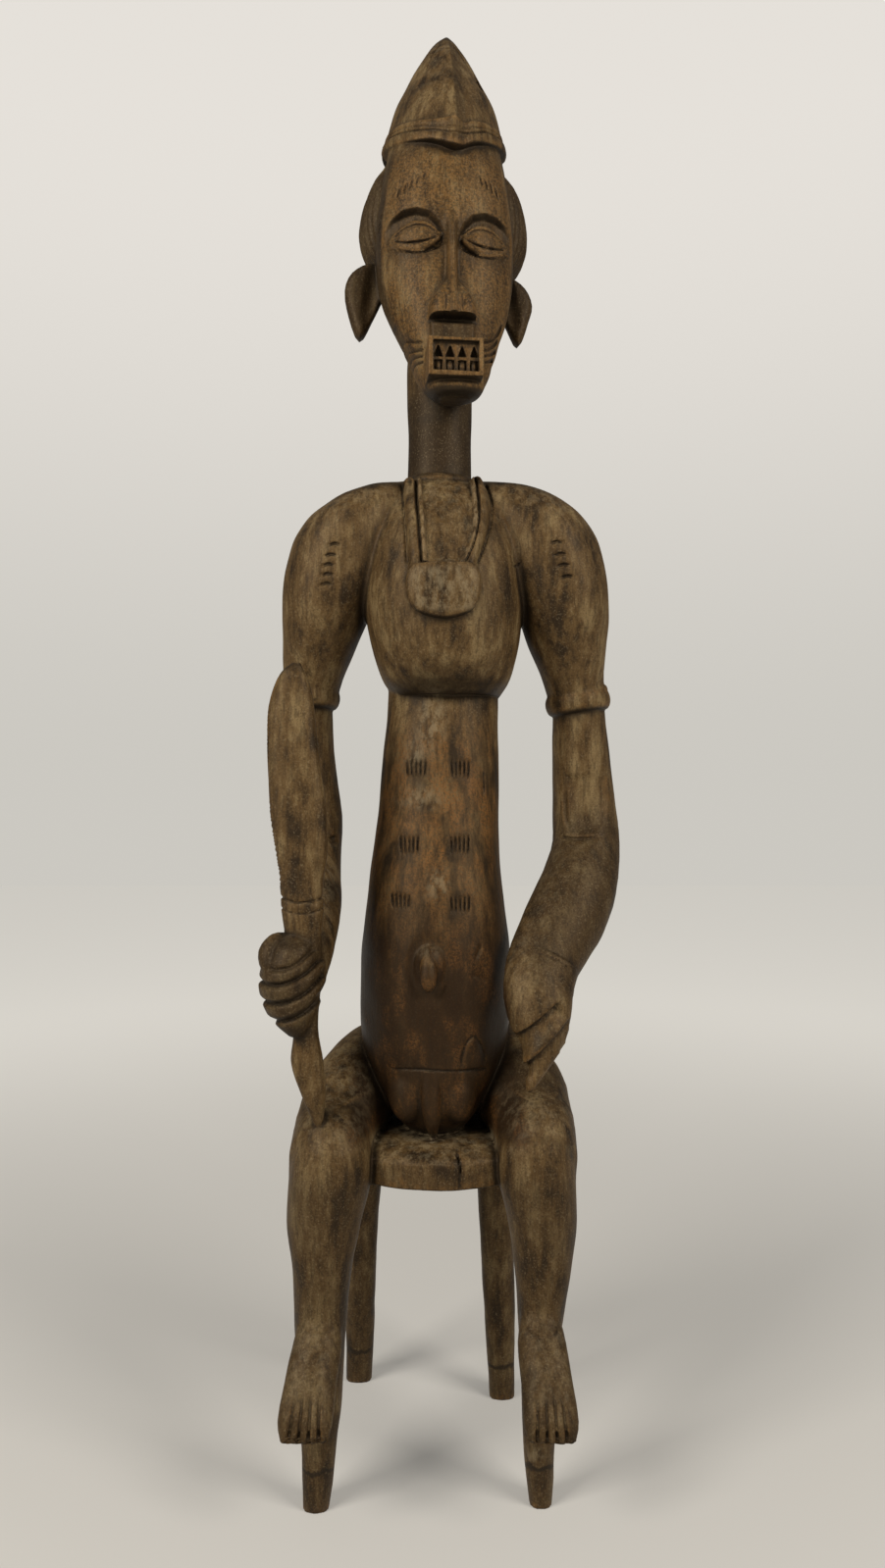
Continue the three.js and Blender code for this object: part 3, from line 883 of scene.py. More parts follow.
def past_step(x, z, step):
    """How far below a step's edge points lie, how far along it, and how long it is."""
    start, end = step
    way = np.array(end, float) - start
    length = math.hypot(*way)
    below = ((z - start[1]) * way[0] - (x - start[0]) * way[1]) / length
    along = ((x - start[0]) * way[0] + (z - start[1]) * way[1]) / length
    return below, along, length


def resting_hand():
    """One mass that narrows to the fingertips, stepped down twice at slanting edges."""
    mass = limb([
        [90, -74, 460, 28, 19],
        [81.5, -86, 440, 29.5, 20],
        [81.5, -95, 420, 27, 19.5],
        [83, -102, 400, 21, 17],
        [78, -108, 380, 12, 13],
        [71.5, -113, 359, 3, 5],
    ], end=2.0)

    def change(p, out):
        for step in HAND_STEPS:
            below, along, length = past_step(p[0], p[2], step)
            fade = within(along, -2, length + 10, 8, 6) * smooth((-97 - p[1]) / 8)
            drop = 4.2 * smooth(below / 1.6) * (1 - smooth((below - 5) / 16))
            cleft = 4.6 * (1 - smooth(np.abs(below - 1.4) / 2.2))
            out = out + np.maximum(drop, cleft) * fade
        return out
    relief = Relief(change, (40, -140, 350), (125, -80, 450))
    return carve(mass, [relief])


def fist():
    """One rounded mass round the grip, parted into four fingers, with a thumb above."""
    mass = column([
        [489, -131, -110, -123, -96],
        [480, -141, -104, -135, -86],
        [466, -148.5, -98, -141, -78],
        [450, -152, -97, -143.5, -76],
        [436, -150, -100, -142, -78],
        [424, -145, -104, -138, -84],
        [414, -137, -107, -132, -92],
        [405, -127, -112, -124, -100],
    ])
    partings = []
    for i in range(3):
        level = FIST - 15.5 * i
        line = [(-157, 8.5), (-145, 5.5), (-128, 6.5), (-113, 13), (-101, 24), (-90, 37)]
        line = [(x, level + up) for x, up in line]
        partings.append(groove(line, 9.0, 3.6, back=-88))
        partings.append(groove(line, 2.6, 1.2, back=-88))
    fold = [(-157, 27), (-143, 19), (-130, 18), (-118, 22), (-104, 34)]
    fold = [(x, FIST + up) for x, up in fold]
    partings.append(groove(fold, 7.0, 3.0, back=-100))
    wrapped = carve(mass, partings)
    thumb = limb([
        [-130, -110, 484, 6, 7],
        [-137, -116, 482, 8, 9],
        [-142, -121, 474, 8.5, 10],
        [-141, -125, 464, 7, 9],
        [-134, -129, 457, 3, 5],
    ], end=3.0)
    return join([wrapped, thumb], 1.2)


def blade():
    """A long flat leaf, bevelled along one edge, on a plain grip that tapers to a point."""
    leaf_front = -112
    whole = column([
        [714, -125, -119, leaf_front + 8, leaf_front + 14],
        [706, -134, -115, leaf_front + 3, leaf_front + 17],
        [690, -142, -110, leaf_front, leaf_front + 20],
        [658, -147, -105, leaf_front - 4, leaf_front + 17],
        [592, -145, -97, leaf_front - 8, leaf_front + 14],
        [560, -140.5, -95, leaf_front - 9, leaf_front + 13],
        [524, -134, -99, leaf_front - 10, leaf_front + 13],
        [510, -133, -98, leaf_front - 12, leaf_front + 14],
        [486, -130, -100, leaf_front - 12, leaf_front + 16],
        [440, -127, -102, leaf_front - 10, leaf_front + 16],
        [406, -124, -103, leaf_front - 8, leaf_front + 14],
        [383, -126, -99, leaf_front - 8, leaf_front + 14],
        [352, -116, -97, leaf_front - 4, leaf_front + 14],
        [326, -106, -100, leaf_front + 6, leaf_front + 14],
    ], power=2.8)
    bevel_z = (522, 545, 570, 600, 640, 670, 690, 704)
    bevel_x = (-128, -131.5, -135, -137.5, -139.5, -138.5, -135, -128)

    def bevel(p, out):
        line = np.interp(p[2], bevel_z, bevel_x)
        ends = smooth((p[2] - 522) / 20) * smooth((708 - p[2]) / 10)
        strip = np.clip((line - p[0]) / 7, 0, 1) * ends
        nicks = 0.45 * np.sin(p[2] * 1.9 + 2.5 * np.sin(p[2] * 0.31))
        nicks = nicks * smooth(strip * 5) * smooth((690 - p[2]) / 30)
        return out + 3.0 * strip + nicks
    collar = [(-137, 521), (-122, 516), (-108, 516), (-94, 521)]
    lower_collar = [(x, z - 9) for x, z in collar]
    return carve(whole, [
        Relief(bevel, (-155, -130, 520), (-120, -104, 710)),
        groove(collar, 4.0, 1.8, back=-90),
        groove(lower_collar, 3.0, 1.2, back=-90),
    ])


def legs():
    """Thighs, shins and feet, which run on below the ankles as the stool's front legs."""
    left_thigh = limb([
        [-38, 40, 352, 40, 42],
        [-60, 14, 350, 40, 41],
        [-80, -24, 334, 40, 37],
        [-94, -62, 312, 34, 33],
        [-98, -88, 298, 28, 28],
    ])
    right_thigh = limb([
        [26, 40, 352, 40, 42],
        [48, 14, 350, 42, 42],
        [68, -24, 336, 42, 38],
        [79, -62, 314, 35, 34],
        [82, -88, 298, 28, 28],
    ])
    left_leg = column([
        [338, -108, -84, -92, -56],
        [326, -118, -70, -108, -44],
        [306, -126, -62, -119, -38],
        [280, -130, -61, -122, -42],
        [242, -132, -69, -119, -50],
        [200, -127, -77, -115, -60],
        [ANKLE, -124, -82, -112, -66],
        [90, -122, -85, -108, -72],
        [50, -119, -90, -105, -76],
        [FLOOR, -118, -96, -98, -77],
    ], power=2.3)
    right_leg = column([
        [344, 68, 96, -90, -54],
        [330, 56, 107, -106, -42],
        [306, 48, 112, -117, -36],
        [280, 47, 113, -120, -40],
        [242, 56, 114, -117, -48],
        [200, 61, 109, -112, -56],
        [ANKLE, 65, 101, -108, -60],
        [90, 67, 98, -103, -64],
        [50, 69, 95, -99, -70],
        [FLOOR, 74, 93, -92, -71],
    ], power=2.3)
    left = join([join([left_thigh, left_leg], 12.0), foot(-103, -110, 22)], 3.0)
    right = join([join([right_thigh, right_leg], 12.0), foot(82, 87, 22)], 3.0)
    return [left, right]


def foot(heel, toe, half):
    """A flat paddle that slopes down and forward, its five toes parted by grooves."""
    sole = limb([
        [heel, -96, ANKLE + 24, 15, 12],
        [heel, -110, ANKLE, 20, 13],
        [(heel + toe) / 2, -126, ANKLE - 22, 21.5, 12],
        [toe, -144, ANKLE - 48, half, 10],
        [toe, -150, ANKLE - 60, half - 3, 7],
    ], end=5.0)
    toes = 5
    end = ANKLE - 66
    grooves = []
    for i in range(1, toes):
        across = toe + half * (2 * i / toes - 1) * 0.9
        inner = heel + (across - heel) * 0.8
        start = ANKLE - 14 - 4 * abs(i - 2.5)
        line = [(inner, start), ((inner + across) / 2, (start + end) / 2), (across, end), (across, 66)]
        grooves.append(groove(line, 4.4, 2.2, front=-200, back=-112, taper=0.3))
        tip = [(across - 0.2, ANKLE - 52), (across, ANKLE - 60), (across, 66)]
        grooves.append(groove(tip, 5.0, 2.0, front=-200, back=-112))
    return carve(sole, grooves)


def back_legs():
    left = [
        [295, -87, -55, 50, 84],
        [200, -93, -62.5, 70, 101],
        [100, -97, -68, 93, 121],
        [FLOOR, -99, -73, 118, 141],
    ]
    right = [
        [295, 30, 66, 44, 80],
        [200, 35, 69.5, 55, 87],
        [100, 41, 71.5, 69, 97],
        [FLOOR, 47, 72, 84, 107],
    ]
    return [column(stations, power=2.6) for stations in (left, right)]


def seat():
    """A round seat, its top edge worn down to a slope."""
    under_edge = 3
    top_edge = 12
    worn_in = 24
    worn_down = 10

    def field(p):
        away = np.hypot(p[0] - SEAT_CENTRE[0], p[1] - SEAT_CENTRE[1]) - SEAT_RADIUS
        top = p[2] - SEAT_TOP
        under = SEAT_UNDER - p[2]
        slope = (worn_down * away + worn_in * (top + worn_down)) / math.hypot(worn_down, worn_in)
        return most(most(most(away, top, top_edge), slope, top_edge / 2), under, under_edge)
    x, y = SEAT_CENTRE
    reach = SEAT_RADIUS
    return Form(field, (x - reach, y - reach, SEAT_UNDER), (x + reach, y + reach, SEAT_TOP))


def necklace():
    """A rounded plaque that hangs on two straps."""
    wide = 31
    middle = 1
    top = 799.5
    bottom = 754
    outline = through([
        (middle - wide + 5, top),
        (middle, top + 0.5),
        (middle + wide - 5, top),
        (middle + wide, top - 9),
        (middle + wide + 0.5, bottom + 24),
        (middle + wide - 6, bottom + 7),
        (middle + wide - 20, bottom + 0.5),
        (middle, bottom - 1),
        (middle - wide + 20, bottom + 0.5),
        (middle - wide + 6, bottom + 7),
        (middle - wide - 0.5, bottom + 24),
        (middle - wide, top - 9),
        (middle - wide + 5, top),
    ], 3)[:-1]
    return both(slab(outline, -100, -70, edge=4.5), egg((middle, -52, 776), (64, 49.5, 64)), 3.0)


# The raised lines along the inner side of the two straps, as (x, z).
STRAP_LINES = [
    [(-20.5, 884), (-19.5, 862), (-17.5, 838), (-15, 803)],
    [(26, 884), (29, 860), (28, 836), (23, 815), (17, 803)],
]


def chest_relief():
    """Straps, the panel between them, creases and scars on chest and shoulders."""
    left_strap = [(-30, 882), (-29.5, 870), (-27.5, 850), (-25, 825), (-23.5, 798)]
    right_strap = [(31, 883), (35, 873), (37, 860), (35, 840), (30, 820), (23, 800)]
    left_gap = [(-23.8, 884), (-23.3, 862), (-21.3, 838), (-18.6, 803)]
    right_gap = [(29.5, 884), (32, 860), (31, 838), (26, 817), (20.5, 803)]
    left_side = [(-35, 880), (-34, 858), (-32, 834), (-29.5, 803)]
    right_side = [(39, 880), (43, 861), (41.5, 840), (36, 820), (29, 802)]
    panel = [(-21, 888), (28, 888), (28, 866), (23, 840), (17, 803), (-15.5, 803), (-17, 850)]
    marks = [
        raised(panel, -1.8, 2.5, back=-20),
        ridge(left_strap, 11.5, 5.0, back=30),
        ridge(right_strap, 11.5, 5.2, back=30),
        ridge(STRAP_LINES[0], 4.6, 2.8, back=-20),
        ridge(STRAP_LINES[1], 4.6, 2.8, back=-20),
        groove(left_gap, 3.8, 2.2, back=-20),
        groove(right_gap, 3.8, 2.2, back=-20),
        groove(left_side, 6.0, 1.8, back=-20),
        groove(right_side, 6.0, 1.8, back=-20),
    ]
    left_scars = [(-95, 822), (-98, 812.5), (-100, 804), (-101, 795.5), (-102.5, 787)]
    right_scars = [(100, 823.5), (103, 813), (106, 803.5), (109, 793.5)]
    for scars, half, end in ((left_scars, 7, -0.4), (right_scars, 7.5, 0.4)):
        for x, z in scars:
            line = [(x - half, z - 1.4), (x, z + 1.6), (x + half, z + end)]
            marks.append(groove(line, 5.0, 2.6, back=-20, taper=0.3))
    marks.append(groove([(60, 803), (66, 806), (71, 811)], 2.4, 1.2, back=-20, taper=0.3))
    return marks


# Groups of upright scars on the belly: the first scar's place, the scars' spacing and length.
BELLY_SCARS = [
    (-30, 627, 3.6, 21),
    (9, 626, 3.3, 22),
    (-35, 560, 3.3, 21),
    (8.5, 560.5, 3.3, 22),
    (-42, 512.5, 3.2, 17),
    (8.5, 510, 3.4, 20),
]
SCARS_IN_GROUP = 5


def belly_relief():
    """Rows of upright scars, a thin crack, the belt with its leaf, and creases beside the navel."""
    marks = []
    for x, z, pitch, tall in BELLY_SCARS:
        for i in range(SCARS_IN_GROUP):
            lean = 0.6 * (i - SCARS_IN_GROUP / 2)
            line = [(x + pitch * i + lean, z + tall / 2), (x + pitch * i, z - tall / 2)]
            marks.append(groove(line, 2.9, 2.3, back=-20, taper=0.35))
    marks.append(groove([(35.5, 627), (36, 613), (36, 600)], 1.9, 1.5, back=-10, taper=0.3))
    belt = [(-46, 368), (-24, 370.5), (0, 369.5), (22, 368), (40, 366)]
    marks.append(groove(belt, 2.8, 1.8, back=-20, taper=0.06))
    leaf = [(15, 369), (17, 384), (21, 394), (26, 398), (31, 393), (35, 382), (37, 367)]
    marks.append(groove(leaf, 2.6, 1.3, back=-20, taper=0.1))
    marks.append(raised(leaf, 1.2, 3.0, back=-30))
    marks.append(groove([(27, 460), (31, 470), (33, 478)], 5.0, 1.6, back=-40, taper=0.4))
    marks.append(groove([(22, 452), (33, 447), (43, 440)], 5.0, 1.5, back=-30, taper=0.4))
    return marks


def belly_carving():
    """Navel boss, two lobes below the belt and a tongue between them."""
    boss = egg((-10, -88, NAVEL + 2), (14, 10, 19))
    crest = limb([
        [-11.5, -93, NAVEL + 14, 3, 3],
        [-11.5, -97, NAVEL + 6, 6, 4.5],
        [-11.5, -100, NAVEL - 4, 7, 5],
        [-11.5, -101, NAVEL - 11, 6, 4.5],
        [-11.5, -100, NAVEL - 16, 3.5, 3],
    ], end=2.0)
    left = egg((-30, -65.5, BELT - 20), (17.5, 20, 27), tip=-11)
    right = egg((13.5, -65.5, BELT - 20), (16, 20, 27), tip=-11)
    tongue = limb([
        [-10, -84, BELT + 1, 9, 6],
        [-10, -84.5, BELT - 24, 8.5, 7],
        [-9, -78.5, BELT - 44, 6.5, 6.5],
        [-8, -70, BELT - 58, 2.5, 3],
    ], end=1.0)
    return join([boss, crest], 2.5), join([left, right]), tongue


def hollow_round_navel(p):
    """How far the belly is hollowed in a ring round the navel."""
    away = np.hypot((p[0] + 11) / 15, (p[2] - NAVEL) / 24)
    return 1.8 * (1 - smooth(np.abs(away - 1) / 0.45)) * (p[1] < -60)


def arm_relief():
    """The hollow and fold at the right elbow, the wrist's line, and creases on the left arm."""
    crook = [(110, 624), (112, 596), (114, 578), (122, 566), (140, 566), (150, 578), (153, 600), (151, 624)]
    return [
        raised(crook, -2.6, 8.0, back=14),
        groove([(106, 565), (114, 563), (130, 563), (147, 566)], 6.5, 2.2, back=20, taper=0.3),
        groove([(112, 615), (112.5, 596), (114, 578), (120, 569)], 7.0, 1.6, back=10, taper=0.3),
        groove([(72, 471), (89, 467), (103, 460), (110, 449)], 2.2, 1.0, back=-60, taper=0.2),
        groove([(-108, 574), (-102, 563), (-97, 556)], 10.0, 2.0, back=20, taper=0.3),
        groove([(-95, 566), (-106, 562), (-114, 564)], 4.0, 1.0, back=20, taper=0.3),
        groove([(-121, 690), (-116, 688), (-112, 691)], 4.0, 1.3, back=-20, taper=0.4),
    ]


def leg_relief():
    """Ankle lines, the crack in the seat and shallow dents."""
    crack = [(13, 309), (12.5, 300), (14.5, 292), (14, 283), (14.5, 274)]
    return [
        groove([(-124, 166), (-112, 161), (-96, 161), (-84, 165)], 3.0, 1.0, back=-95, taper=0.2),
        groove([(64, 163), (76, 159), (92, 159), (104, 164)], 3.0, 1.0, back=-92, taper=0.2),
        groove(crack, 2.2, 5.0, back=-88, taper=0.12),
        groove([(13, 306), (10, 309), (9, 312)], 1.6, 1.6, front=-110, back=-70),
        groove([(-101, 214), (-99, 205)], 3.4, 1.6, back=-90, taper=0.3),
    ]


def unevenness(p):
    """A slow swell from the carver's tools, and shallow flats."""
    x, y, z = p
    swell = np.sin(x * 0.043 + 1.3) * np.sin(z * 0.031 + 0.7) + np.sin(y * 0.051 + z * 0.047 + 2.1)
    ripple = np.sin(x * 0.13 + z * 0.05 + 0.4) * np.sin(z * 0.11 - y * 0.09 + 1.9)
    ripple = ripple + np.sin(y * 0.17 + x * 0.06 + 0.2) * np.sin(z * 0.083 + x * 0.071)
    return 0.28 * swell + 0.22 * ripple


def whole_figure():
    """The whole carving as one field, with its reliefs."""
    navel, lobes, tongue = belly_carving()
    arms = [
        join([join([upper, fore], 2.0), band], 1.0)
        for upper, fore, band in zip(upper_arms(), (blade_arm(), resting_arm()), armbands())
    ]
    core = join([join([chest(), trunk()], 1.5), neck()], 2.0)
    core = carve(core, chest_relief() + belly_relief())

    def hollowed(p):
        return core(p) + hollow_round_navel(p)
    body = join([Form(hollowed, core.low, core.high), lobes], 2.5)
    body = join([body, navel, tongue], 1.2)
    limbs = join([*arms, resting_hand()], 3.0)
    limbs = carve(limbs, chest_relief() + arm_relief())
    stool = join([seat(), *back_legs()], 3.0)
    lower = join([stool, *legs()], 2.0)
    lower = carve(lower, leg_relief())
    held = join([blade(), fist()], 0.8)
    rest = join([join([body, limbs], 6.0), lower], 2.0)
    rest = join([rest, held, necklace()], 0.8)
    head_form = head()
    low = np.minimum(rest.low, head_form.low)
    high = np.maximum(rest.high, head_form.high)

    def field(p):
        out = np.minimum(rest(p), head_form(p))
        near = np.flatnonzero(np.abs(out) < FAR / 2)
        fade = np.clip((p[2, near] - 2) / 20, 0, 1)
        out[near] += unevenness(p[:, near]) * fade
        return np.maximum(out, FLOOR - p[2])
    return Form(field, low, high)


# Mesh from the field

def levels():
    """Heights of the grid's levels, closer together where the carving is finest, and the steps."""
    at = (0, 80, 95, 125, 150, 330, 370, 480, 500, 640, 680, 770, 790, 880, 935, 1210, 1240, 1300)
    step = (1.7, 1.7, 1.2, 1.2, 1.7, 1.6, 1.3, 1.3, 1.15, 1.15, 1.5, 1.5, 1.2, 1.2, 0.85, 0.85, 1.1, 1.1)
    heights = [-3.0]
    steps = []
    while heights[-1] < TOP + 3:
        steps.append(float(np.interp(heights[-1], at, step)))
        heights.append(heights[-1] + steps[-1])
    steps.append(steps[-1])
    return np.array(heights), np.array(steps)


class Grid:
    """Samples of a field on levels whose steps follow the height."""

    def __init__(self, low, high):
        self.heights, self.steps = levels()
        self.middle = -np.array(NECK_AXIS)
        self.half = np.ceil((high[:2] - low[:2]) / 2 / BODY_STEP).astype(int) + 5
        spare = (-len(self.heights)) % BLOCK
        for _ in range(spare):
            self.heights = np.append(self.heights, self.heights[-1] + self.steps[-1])
            self.steps = np.append(self.steps, self.steps[-1])
        self.half = (self.half + BLOCK - 1) // BLOCK * BLOCK
        self.shape = (2 * self.half[0], 2 * self.half[1], len(self.heights))

    def place(self, i, j, k):
        """Points at grid places, which may lie between the samples."""
        number = np.arange(len(self.heights))
        z = np.interp(k, number, self.heights)
        step = np.interp(k, number, self.steps)
        x = self.middle[0] + (i - self.half[0]) * step
        y = self.middle[1] + (j - self.half[1]) * step
        return np.stack([x, y, z]).astype(np.float32)

    def sample(self, field):
        """The field near the surface, and its sign elsewhere."""
        coarse_shape = tuple(size // BLOCK for size in self.shape)
        index = np.indices(coarse_shape).reshape(3, -1) * BLOCK
        coarse = in_parts(field, self.place(*index.astype(np.float32))).reshape(coarse_shape)
        reach = self.steps[::BLOCK][None, None, :] * BLOCK * 1.5
        padded = np.pad(coarse, ((0, 1), (0, 1), (0, 1)), mode="edge")
        corners = [
            padded[a:a + coarse_shape[0], b:b + coarse_shape[1], c:c + coarse_shape[2]]
            for a in (0, 1) for b in (0, 1) for c in (0, 1)
        ]
        least_size = np.min(np.abs(corners), axis=0)
        mixed = (np.min(corners, axis=0) < 0) != (np.max(corners, axis=0) < 0)
        active = (least_size < reach) | mixed
        values = np.where(coarse < 0, np.float32(-FAR), np.float32(FAR))
        for axis in range(3):
            values = np.repeat(values, BLOCK, axis=axis)
        cells = np.stack(np.nonzero(active)) * BLOCK
        inner = np.indices((BLOCK, BLOCK, BLOCK)).reshape(3, -1)
        fine = (cells[:, :, None] + inner[:, None, :]).reshape(3, -1)
        values[tuple(fine)] = in_parts(field, self.place(*fine.astype(np.float32)))
        return values


def in_parts(field, points, size=60000):
    """The field at many points, in parts that run side by side."""
    starts = range(0, points.shape[1], size)
    out = np.empty(points.shape[1], np.float32)

    def work(start):
        out[start:start + size] = field(points[:, start:start + size])
    with ThreadPoolExecutor(4) as pool:
        list(pool.map(work, starts))
    return out


def surface(values, grid):
    """One vertex in each cell that the surface crosses, and a quad across each crossed edge."""
    solid = values < 0
    shape = np.array(values.shape)
    stride = np.array([shape[1] * shape[2], shape[2], 1])
    crossings = []
    for axis in range(3):
        here = [slice(None)] * 3
        there = [slice(None)] * 3
        here[axis] = slice(0, -1)
        there[axis] = slice(1, None)
        here = tuple(here)
        there = tuple(there)
        start = np.stack(np.nonzero(solid[here] != solid[there]))
        end = start.copy()
        end[axis] += 1
        a = values[tuple(start)]
        b = values[tuple(end)]
        place = start.astype(np.float64)
        place[axis] += a / (a - b)
        crossings.append((axis, start, place, a < 0))
    cells = []
    places = []
    quads = []
    for axis, start, place, leaving in crossings:
        one = (axis + 1) % 3
        two = (axis + 2) % 3
        base = (start * stride[:, None]).sum(0)
        around = [base, base - stride[one], base - stride[one] - stride[two], base - stride[two]]
        around = np.stack(around, 1)
        around[~leaving] = around[~leaving, ::-1]
        quads.append(around)
        cells.append(around.ravel())
        places.append(np.repeat(place, 4, axis=1))
    cells = np.concatenate(cells)
    quads = np.concatenate(quads)
    places = np.concatenate(places, axis=1)
    kept, inverse = np.unique(cells, return_inverse=True)
    count = np.bincount(inverse)
    middle = [np.bincount(inverse, weights=row) / count for row in places]
    return grid.place(*middle).T, np.searchsorted(kept, quads)


def build_mesh(name, field, grid):
    """The field's surface as a Blender mesh, thinned to the wanted number of triangles."""
    points, quads = surface(grid.sample(field), grid)
    mesh = bpy.data.meshes.new(name)
    mesh.vertices.add(len(points))
    mesh.vertices.foreach_set("co", points.astype(np.float32).ravel())
    mesh.loops.add(quads.size)
    mesh.loops.foreach_set("vertex_index", quads.astype(np.int32).ravel())
    mesh.polygons.add(len(quads))
    mesh.polygons.foreach_set("loop_start", np.arange(0, quads.size, 4, dtype=np.int32))
    mesh.update(calc_edges=True)
    piece = bpy.data.objects.new(name, mesh)
    bpy.context.scene.collection.objects.link(piece)
    thin = piece.modifiers.new("thin", "DECIMATE")
    thin.ratio = TRIANGLES / (2 * len(quads))
    thin.use_collapse_triangulate = True
    graph = bpy.context.evaluated_depsgraph_get()
    thinned = bpy.data.meshes.new_from_object(piece.evaluated_get(graph))
    piece.modifiers.clear()
    piece.data = thinned
    bpy.data.meshes.remove(mesh)
    thinned.name = name
    return piece


def gradient(field, points, reach=0.4):
    """Unit directions in which the field grows."""
    rows = []
    for axis in range(3):
        shift = np.zeros((3, 1), np.float32)
        shift[axis] = reach
        rows.append(in_parts(field, points + shift) - in_parts(field, points - shift))
    rows = np.stack(rows)
    return rows / np.maximum(np.linalg.norm(rows, axis=0), 1e-6)


def shade_and_dark_marks(x, y, z, across, front, lip):
    """How dark each point is painted: the dark hair behind the face; darker rings round the eyes and darker
    places at the fist, elbow, crook, right flank and belly scars; and painted shade on the lip under the
    nose, right of the hat's keel, below the hand's steps, beside and behind the hand, below the toes and
    beside the feet.
    """
    # The dark hair behind the face, and the nose's shadow painted on the lip below it.
    marks = [(1 - front) * within(z, 990, 1180, 40, 10), 0.9 * lip * front]
    for side, level in ((-1, EYE_SLIT + 4.5), (1, EYE_SLIT + 2.5)):
        away = np.hypot((across - side * EYE_AT) / EYE_HALF, (z - level) / EYE_TALL)
        eye_ring = within(away, 0.88, 1.6, 0.14, 0.35) * smooth((60 - np.abs(across)) / 12)
        marks.append(0.85 * eye_ring * front)
    # Painted shade: the hat's side right of the keel darker, as if lit from the left.
    beside_keel = within(across, 2.5, 24, 2, 20) * smooth((z - 1186) / 6)
    marks.append(0.65 * beside_keel * smooth(-y / 20))
    near_fist = smooth((-92 - x) / 8) * smooth((-70 - y) / 10) * within(z, FIST - 45, FIST + 50, 10, 15)
    marks.append(0.9 * near_fist)
    near_elbow = smooth((x - 68) / 10) * within(z, FIST - 30, ELBOW + 50, 60, 60)
    marks.append(0.75 * near_elbow)
    crook = smooth((x - 110) / 6) * within(z, ELBOW + 5, ELBOW + 45, 3, 38)
    marks.append(crook * smooth(-y / 8))
    # Painted shadow just below each step of the hand.
    for step in HAND_STEPS:
        below, along, length = past_step(x, z, step)
        edge = within(below, 0, 6, 1.2, 4) * within(along, -4, length + 8, 6, 6)
        marks.append(edge * smooth((-86 - y) / 6) * smooth((x - 50) / 5))
    # Painted shade between the hand and the belly, and behind the hand.
    faces_front = smooth((-20 - y) / 20)
    fingers_edge = 60 + (404 - z) * 0.22
    beside_hand = within(x, 42, fingers_edge, 10, 3) * within(z, 350, 435, 12, 20)
    marks.append(0.9 * beside_hand * faces_front)
    behind_hand = within(x, 40, 112, 12, 12) * within(z, 338, 405, 16, 20)
    marks.append(behind_hand * smooth((y + 99) / 6) * faces_front)
    flank = within(x, 34 + 0.1 * np.abs(z - 540), 72, 10, 5) * within(z, 455, 615, 30, 50)
    marks.append(0.65 * flank * smooth((-10 - y) / 20))
    for start, level, pitch, tall in BELLY_SCARS:
        middle = start + pitch * 2
        away = np.hypot((x - middle) / (pitch * 3.6), (z - level) / (tall * 0.62))
        marks.append(0.75 * smooth((1.25 - away) / 0.6) * smooth((-10 - y) / 20))
    # Painted shadow on the legs just below the toes.
    below_toes = within(z, 62, 88, 6, 5) * within(y, -112, -60, 4, 10)
    marks.append(0.9 * below_toes)
    # Painted shade beside the feet, between foot and leg.
    beside_foot = smooth((np.abs(x) - 58) / 3) * smooth((72 - np.abs(x - 2)) / 4)
    marks.append(0.7 * beside_foot * within(z, 70, 150, 8, 20) * smooth((-60 - y) / 10))
    return np.maximum.reduce(marks)


def dust(x, y, z, hollow):
    """Where pale dust lies: patches on the belly and a leg, the plaque, strap lines and the seat."""
    marks = []
    patches = [(-9, 668, 15, 30), (-4, 526, 12, 14), (-20, 600, 22, 10), (-24, 640, 10, 14), (79, 48, 12, 9)]
    for middle, level, half, tall in patches:
        away = np.hypot((x - middle) / half, (z - level) / tall)
        marks.append(smooth(1.3 - away) * smooth((-10 - y) / 20))
    plaque = smooth((31 - np.abs(x - 1)) / 6) * within(z, 756, 798, 6, 6)
    marks.append(0.9 * plaque * smooth((-88 - y) / 3))
    for route in STRAP_LINES:
        gap = line_distance(x, z, through(route, 5))[0]
        marks.append(smooth((3.0 - gap) / 2.0) * smooth((-20 - y) / 10))
    seat_line = within(z, SEAT_TOP - 7, SEAT_TOP + 7, 5, 5) * smooth(hollow / 0.3)
    marks.append(seat_line * smooth((40 - y) / 20))
    return np.maximum.reduce(marks)


